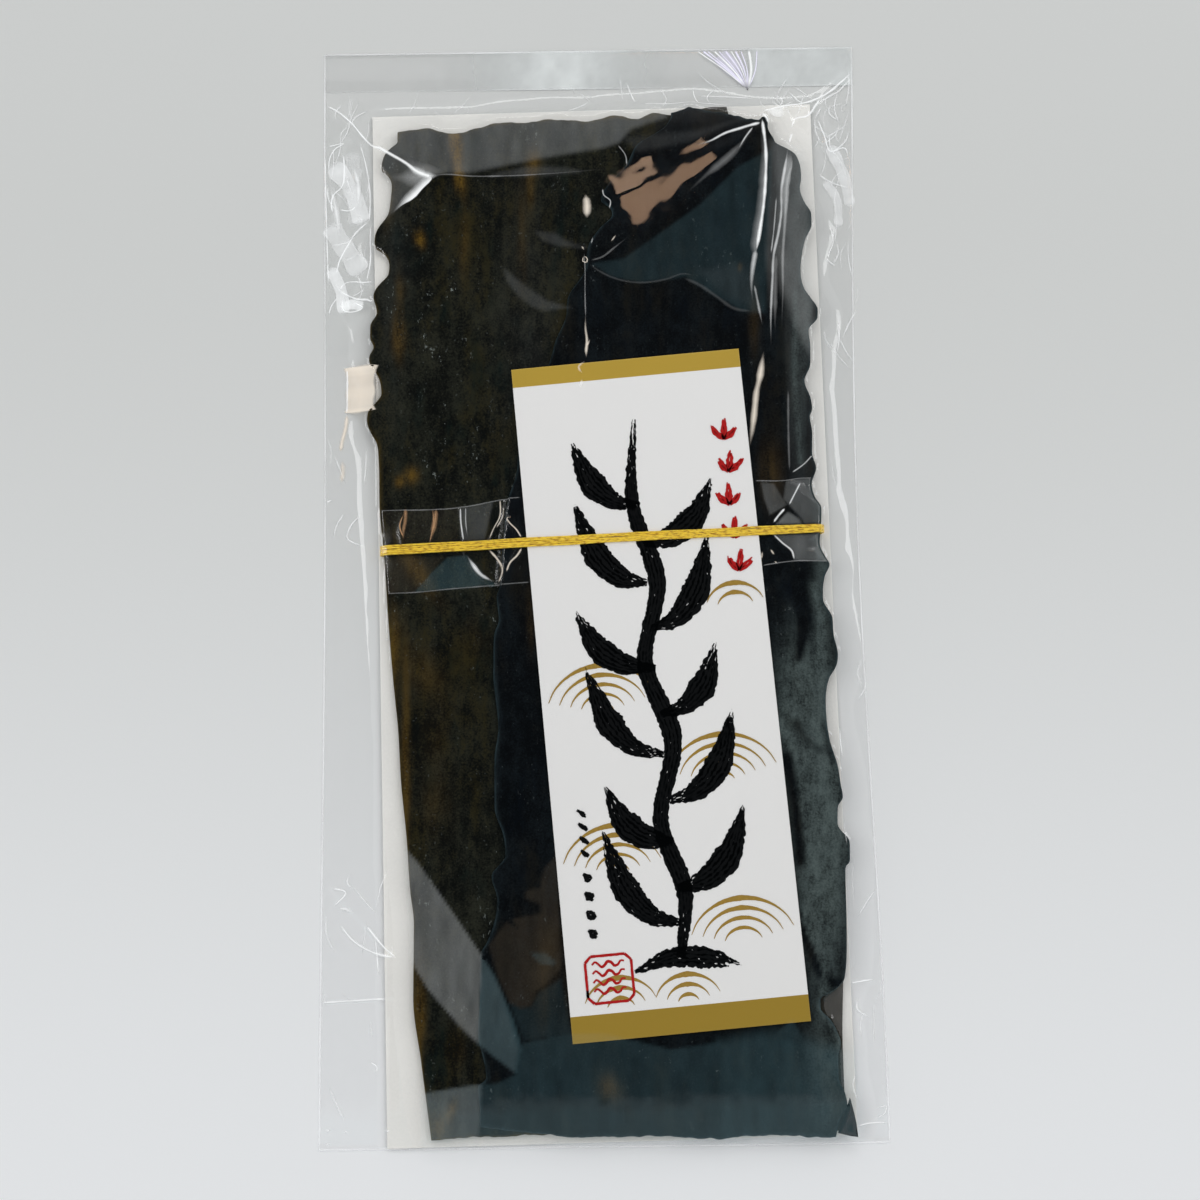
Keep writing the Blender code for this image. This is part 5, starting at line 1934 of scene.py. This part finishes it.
@dataclass(frozen=True)
class FilmPouch:
    """The sealed pouch: a front film drawn over the contents, a flat back film and a doubled header."""

    sheets: tuple[KelpSheet, ...]
    cards: tuple[FlatCard, ...]
    elastic: ElasticLoop
    tip: CornerTip
    strip: ClearStrip
    rows: int = 426
    columns: int = 213
    rounds: int = 650
    header_low: float = 157.0
    highest: float = 8.4

    def places(self) -> tuple[np.ndarray, np.ndarray]:
        """The front film's grid, between the pouch's two sides."""
        up = np.linspace(-POUCH_HALF_LENGTH, POUCH_HALF_LENGTH, self.rows)[:, None]
        share = np.linspace(0.0, 1.0, self.columns)[None, :]
        right = pouch_left(up) + (pouch_right(up) - pouch_left(up)) * share
        return right, np.repeat(up, self.columns, axis=1)

    def contents(self, right: np.ndarray, up: np.ndarray) -> np.ndarray:
        """Height of whatever lies under the film at each place.

        Args:
            right: Distances to the right.
            up: Distances up the pouch.

        Returns:
            Heights, 0 where there is only the back film.
        """
        height = np.zeros(right.shape)
        for card in self.cards:
            height = np.maximum(height, np.where(card.covers(right, up), card.top + card.bow, 0.0))
        spare, olive, dark = self.sheets
        height = np.maximum(height, np.where(spare.inset(right, up) > 0.3, spare.over + 0.3, 0.0))
        label = self.cards[-1]
        taut = np.interp(right, (-68.0, -16.0), (olive.over + 0.35, label.top + label.bow))
        for sheet in (olive, dark):
            height = np.maximum(height, np.where(sheet.inset(right, up) > -1.2, taut, 0.0))
        height = np.maximum(height, np.where(is_inside(right, up, self.tip.corners), self.tip.height + 0.3, 0.0))
        over = self.elastic.over_top()
        band = np.abs(up - self.elastic.line(right)) < 1.7
        band &= (right > over.along[0]) & (right < over.along[-1])
        return np.maximum(height, np.where(band, over.at(right) + LAYERS.strand + 0.05, 0.0))

    def drawn_over(self, right: np.ndarray, up: np.ndarray) -> np.ndarray:
        """Height of the front film, stretched over the contents and welded down along its edges.

        Args:
            right: The grid's distances to the right.
            up: The grid's distances up the pouch.

        Returns:
            The film's heights on the grid.
        """
        floor = self.contents(right, up) + LAYERS.clearance
        height = floor.copy()
        over_kelp = floor > LAYERS.spare_top
        pull = np.where(over_kelp, 0.0, 0.03)
        for _ in range(self.rounds):
            height[0], height[-1], height[:, 0], height[:, -1] = (LAYERS.hem,) * 4
            mean = height[1:-1, 2:] + height[1:-1, :-2] + height[2:, 1:-1] + height[:-2, 1:-1]
            height[1:-1, 1:-1] = np.maximum(mean / 4 - pull[1:-1, 1:-1], floor[1:-1, 1:-1])
        inside = np.minimum(right - right[:, :1], right[:, -1:] - right)
        inside = ease(np.minimum(inside, POUCH_HALF_LENGTH - np.abs(up)) / 5.0)
        loose = np.where(over_kelp, 0.8, 1.0)
        wave = 0.03 * SmoothField(5, 9.0, 60.0).at(right, up) + 0.015 * SmoothField(8, 14.0, 17.0).at(right, up)
        wave = wave * (0.3 + 0.7 * ease((np.hypot(right - 22.0, up - 121.0) - 26.0) / 10.0))
        wave = wave + 0.005 * SmoothField(83, 5.5, 5.5, 2).at(right, up)
        for fold in FILM_FOLDS:
            wave = wave + fold.at(right, up)
        height = height + (wave + 0.05) * inside * loose
        return np.clip(height, np.maximum(floor - 0.05, 0.12), self.highest)

    def front(self) -> tuple[Surface, SurfaceReader]:
        """The front film.

        Returns:
            Its surface and a reader of its height.
        """
        right, up = self.places()
        height = self.drawn_over(right, up)
        return Surface.from_grid(right, up, height, **painted_sheens(right, up, FILM_VEILS, 0.2)), SurfaceReader(height)

    def back(self) -> Surface:
        """The back film, flat on the floor and lifted to the weld at its edges.

        Returns:
            Its surface.
        """
        up = np.linspace(-POUCH_HALF_LENGTH, POUCH_HALF_LENGTH, 171)[:, None]
        share = np.concatenate([[0.0, 0.006], np.linspace(0.02, 0.98, 84), [0.994, 1.0]])[None, :]
        right = pouch_left(up) + (pouch_right(up) - pouch_left(up)) * share
        up = np.repeat(up, share.shape[1], axis=1)
        edge = np.minimum(np.minimum(right - right[:, :1], right[:, -1:] - right), POUCH_HALF_LENGTH - np.abs(up))
        puff = 0.12 * ease(SmoothField(61, 9.0, 30.0, 2).at(right, up))
        height = LAYERS.back_film + puff * ease(edge / 6.0) + (LAYERS.hem - LAYERS.back_film) * (1 - ease(edge / 2.0))
        return Surface.from_grid(right, up, height)

    def header(self, reader: SurfaceReader) -> Surface:
        """The doubled strip along the pouch's upper end.

        Args:
            reader: Reads the front film's height.

        Returns:
            Its surface.
        """
        up = np.linspace(self.header_low, POUCH_HALF_LENGTH - 0.2, 17)[:, None]
        share = np.linspace(0.0, 1.0, 170)[None, :]
        right = pouch_left(up) + 0.3 + (pouch_right(up) - pouch_left(up) - 0.6) * share
        up = np.repeat(up, share.shape[1], axis=1)
        ripple = 0.06 * (1 + SmoothField(67, 9.0, 30.0, 2).at(right, up))
        height = reader.at(right, up) + 0.12 + ripple * ease((up - self.header_low) / 4)
        # The header's whitening: partly the doubled film's own cloudiness, partly painted sheen that lightens its
        # middle and right end.
        sheen_patchiness = 1.0 + 0.12 * SmoothField(69, 4.0, 5.0, 3).at(right, up)
        pale = 0.04 + 0.78 * np.exp(-(((right + 9.0) / 25.0) ** 2)) + 0.6 * ease((right - 48.0) / 6.0)
        marks = {tint.mark: np.zeros_like(right) for tint in Tint} | {Tint.PLAIN.mark: pale * sheen_patchiness}
        return Surface.from_grid(right, up, height, **marks)

    def hems(self, reader: SurfaceReader) -> Surface:
        """Narrow bright lines along the four welded edges and the header's lower edge: painted highlights on the welds,
        with a slight painted glow.

        Args:
            reader: Reads the front film's height.

        Returns:
            Their surface.
        """
        up = np.linspace(-POUCH_HALF_LENGTH + 0.3, POUCH_HALF_LENGTH - 0.3, 90)
        across = np.linspace(-POUCH_HALF_WIDTH + 0.6, POUCH_HALF_WIDTH - 0.6, 45)
        lines = (
            (pouch_left(up) + 0.35, up, 0.45, 0.5), (pouch_right(up) - 0.35, up, 0.45, 0.5),
            (across, np.full(45, -POUCH_HALF_LENGTH + 0.4), 0.45, 0.4),
            (across, np.full(45, POUCH_HALF_LENGTH - 0.4), 0.5, 0.5),
            (across, np.full(45, self.header_low + 0.2), 0.4, 0.12),
        )
        made: Surface | None = None
        for right, place, width, strength in lines:
            vary = 0.75 + 0.45 * SmoothField(int(strength * 100), 16.0, 16.0, 2).at(right, place)
            offset = np.array([-0.5, 0.0, 0.5])[:, None] * width
            lengthwise = abs(place[-1] - place[0]) > 1.0
            beside = right + offset if lengthwise else np.repeat(right[None, :], 3, axis=0)
            above = np.repeat(place[None, :], 3, axis=0) if lengthwise else place + offset
            height = np.maximum(reader.at(beside, above), 0.3) + np.array([0.04, 0.14, 0.04])[:, None]
            ribbon = Surface.from_grid(beside, above, height, haze=np.repeat(vary[None, :] * strength, 3, axis=0))
            made = ribbon if made is None else made.joined(ribbon)
        return made

    def build(self) -> None:
        """Make the film's pieces."""
        front, reader = self.front()
        finish = FilmFinish("pouch_film", mirror=0.05, roughness=0.018, tint=1.0, ripple_mm=0.008, has_painted_sheen=True)
        material = finish.material()
        front.piece("pouch_front", material, "pouch_film")
        inner = FilmFinish("back_film", mirror=0.012, roughness=0.06, tint=1.0)
        self.back().piece("pouch_back", inner.material(), "pouch_film")
        self.header(reader).piece("pouch_header", material, "pouch_film")
        # Painted highlight with a slight painted glow along the welds.
        hem_finish = GlintAndWhiteningFinish("hem_haze", (0.88, 0.89, 0.9), 0.25)
        self.hems(reader).piece("pouch_hems", hem_finish.material(), "pouch_film")

        def top_face(right: np.ndarray, up: np.ndarray) -> np.ndarray:
            """Height of the film's top face, which is the header's where there is one."""
            return reader.at(right, up) + 0.34 * ease((up - self.header_low + 0.8) / 0.6)

        placed = [(crease, top_face) for crease in FILM_CREASES] + [(crease, self.strip.at) for crease in STRIP_CREASES]
        for colour in CreaseColour:
            joined: Surface | None = None
            for number, (crease, heights) in enumerate(placed):
                if crease.colour is colour:
                    ridge = crease.ribbon(heights, number, self.highest + 0.04)
                    joined = ridge if joined is None else joined.joined(ridge)
            name = f"creases_{colour.name.lower()}"
            # Painted highlights with a slight painted glow, one piece for each colour.
            joined.piece(name, GlintAndWhiteningFinish(name, colour.value, 0.25).material(), "pouch_film")


@dataclass(frozen=True)
class SurfaceReader:
    """Reads the height of the front film's grid at any place."""

    heights: np.ndarray

    def at(self, right: np.ndarray, up: np.ndarray) -> np.ndarray:
        """Height of the film, blended between the grid's four nearest points.

        Args:
            right: Distances to the right.
            up: Distances up the pouch.

        Returns:
            Heights, in mm.
        """
        rows, columns = self.heights.shape
        share = (right - pouch_left(up)) / (pouch_right(up) - pouch_left(up))
        column = np.clip(share * (columns - 1), 0, columns - 1.001)
        row = np.clip((up + POUCH_HALF_LENGTH) / (2 * POUCH_HALF_LENGTH) * (rows - 1), 0, rows - 1.001)
        left = column.astype(int)
        low = row.astype(int)
        x = column - left
        y = row - low
        lower = self.heights[low, left] * (1 - x) + self.heights[low, left + 1] * x
        upper = self.heights[low + 1, left] * (1 - x) + self.heights[low + 1, left + 1] * x
        return lower * (1 - y) + upper * y


# ---------------------------------------------------------------------------------------------------
# Studio
# ---------------------------------------------------------------------------------------------------


@dataclass(frozen=True)
class SoftBox:
    """A soft light panel that faces the pouch from a direction."""

    name: str
    toward: tuple[float, float, float]
    distance: float
    width: float
    length: float
    radiance: float
    colour: Colour = (1.0, 1.0, 1.0)
    roll: float = 0.0

    def seat(self) -> Matrix:
        """Where the panel stands, facing the pouch."""
        toward = Vector(self.toward).normalized()
        turn = toward.to_track_quat("Z", "Y").to_matrix().to_4x4()
        return Matrix.Translation(toward * self.distance) @ turn @ Matrix.Rotation(math.radians(self.roll), 4, "Z")

    def build(self) -> None:
        """Place the light, with its power worked out from its brightness."""
        light = bpy.data.lights.new(self.name, "AREA")
        light.shape = "RECTANGLE"
        light.size = self.width
        light.size_y = self.length
        light.energy = self.radiance * math.pi * self.width * self.length
        light.color = self.colour
        panel = bpy.data.objects.new(self.name, light)
        panel.matrix_world = self.seat()
        bpy.context.scene.collection.objects.link(panel)


@dataclass(frozen=True)
class Studio:
    """Pale floor, soft light from all round with a dark gap overhead, soft boxes and the camera."""

    ceiling: Colour = (0.69, 0.70, 0.71)
    gap: Colour = (0.02, 0.026, 0.03)
    low_wall: Colour = (0.34, 0.46, 0.49)
    floor_far: Colour = (0.69, 0.695, 0.68)
    floor_near: Colour = (0.96, 0.965, 0.975)
    camera_place: tuple[float, float, float] = (1.293, -66.412, 508.872)
    camera_turn: tuple[float, float, float] = (0.1165, 0.0006, -0.0143)
    boxes: tuple[SoftBox, ...] = (
        SoftBox("left_box", (-1.0, 0.25, 1.15), 1.2, 0.22, 0.7, 3.36),
        SoftBox("right_box", (1.0, 0.45, 1.25), 1.2, 0.22, 0.7, 3.36),
        SoftBox("top_box", (0.1, 1.0, 1.1), 1.3, 0.7, 0.22, 3.36),
        SoftBox("warm_box", (0.0895, 0.6480, 1.4), 1.543, 0.120, 0.030, 3.9, (1.0, 0.63, 0.40), roll=45.0),
        SoftBox("warm_strip", (0.0440, 0.6600, 1.4), 1.543, 0.060, 0.012, 4.6, (1.0, 0.66, 0.44), roll=24.0),
    )

    def _world(self) -> None:
        """Light the scene from all round, dimmer where the film would mirror the camera's side."""
        world = bpy.data.worlds.new("studio")
        bpy.context.scene.world = world
        world.use_nodes = True
        shader = Shader(world.node_tree)
        toward = shader.node("ShaderNodeTexCoord", output="Generated")
        across = shader.node("ShaderNodeSeparateXYZ", None, {0: toward}, output=0)
        along = shader.node("ShaderNodeSeparateXYZ", None, {0: toward}, output=1)
        height = shader.node("ShaderNodeSeparateXYZ", None, {0: toward}, output=2)
        height = shader.node("ShaderNodeMath", {"operation": "MAXIMUM"}, {0: height, 1: 0.05})
        side = (across / height).size()
        slope = along / height
        inside = 1.0 - side.step(0.30, 0.44)
        hole = inside * slope.step(-0.185, -0.172) * (1.0 - slope.step(0.40, 0.46))
        wall = inside * slope.step(-0.45, -0.35) * (1.0 - slope.step(-0.185, -0.172))
        colour = shader.mix(hole, shader.mix(wall, self.ceiling, self.low_wall), self.gap)
        sky = shader.node("ShaderNodeBackground", None, {"Color": colour, "Strength": 1.0})
        output = shader.tree.nodes.new("ShaderNodeOutputWorld")
        shader.tree.links.new(sky.socket, output.inputs["Surface"])

    def _floor(self) -> None:
        """Lay the floor, a little darker towards the far end, as painted shade."""
        size = 3000.0
        steps = np.linspace(-size, size, 41)
        right, up = np.meshgrid(steps, steps)
        surface = Surface.from_grid(right, up, np.zeros(right.shape))
        mesh = bpy.data.meshes.new("floor")
        mesh.from_pydata((surface.points * MM).tolist(), [], surface.faces.tolist())
        material, shader = new_material("floor_paper")
        place = shader.place()
        along = shader.node("ShaderNodeSeparateXYZ", None, {0: place}, output=1)
        grain = shader.noise(place, 1.5, 3.0)
        colour = shader.mix(along.step(-0.25, 0.13), self.floor_near, self.floor_far)
        sockets = {"Base Color": colour, "Roughness": 0.8, "Normal": shader.bump(grain, 0.02)}
        shader.surface(shader.node("ShaderNodeBsdfPrincipled", None, sockets))
        mesh.materials.append(material)
        floor = bpy.data.objects.new("floor", mesh)
        bpy.context.scene.collection.objects.link(floor)

    def _camera(self) -> None:
        """Look down on the pouch, tipped a little towards the header."""
        lens = bpy.data.cameras.new("camera")
        lens.lens = 50.0
        lens.sensor_width = 36.0
        lens.clip_start = 0.01
        camera = bpy.data.objects.new("camera", lens)
        pitch, yaw, roll = self.camera_turn
        turn = Matrix.Rotation(pitch, 4, "X") @ Matrix.Rotation(yaw, 4, "Y") @ Matrix.Rotation(roll, 4, "Z")
        camera.matrix_world = Matrix.Translation(Vector(self.camera_place) * MM) @ turn
        bpy.context.scene.collection.objects.link(camera)
        bpy.context.scene.camera = camera

    def build(self) -> None:
        """Make the studio."""
        bpy.context.scene.view_settings.view_transform = "Standard"
        self._camera()
        self._world()
        self._floor()
        for box in self.boxes:
            box.build()


# ---------------------------------------------------------------------------------------------------
# The whole
# ---------------------------------------------------------------------------------------------------


def main() -> None:
    """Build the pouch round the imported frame."""
    logging.basicConfig(level=logging.INFO, format="%(message)s")
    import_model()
    Studio().build()
    spare, olive, dark = make_sheets()
    backing = FlatCard(
        "backing_card", "backing_card", 139.0, 317.7, LAYERS.card_under, LAYERS.card_top, 2.88, -9.4,
        math.radians(0.894),
    )
    label = FlatCard(
        "label_card", "label_card", 70.5, 204.0, LAYERS.label_under, LAYERS.label_top, 18.0, -34.6,
        math.radians(4.64), bow=0.15, pitch=2.0,
    )
    backing.build(PaperFinish("backing_card", (0.94, 0.92, 0.875), 0.55).material())
    for sheet in (spare, olive, dark):
        sheet.build()
    tip = CornerTip()
    tip.build(dark.finish)
    strip = ClearStrip((spare, olive, dark))
    strip.build()
    gold = LabelFinish((0.937, 0.921, 0.903), (0.56, 0.37, 0.045), (0.40, 0.255, 0.026), 96.2, -94.2)
    label.build(gold.material())
    LabelPrint(label).build()
    elastic = ElasticLoop(label)
    elastic.build()
    FilmPouch((spare, olive, dark), (backing, label), elastic, tip, strip).build()


if __name__ == "__main__":
    main()
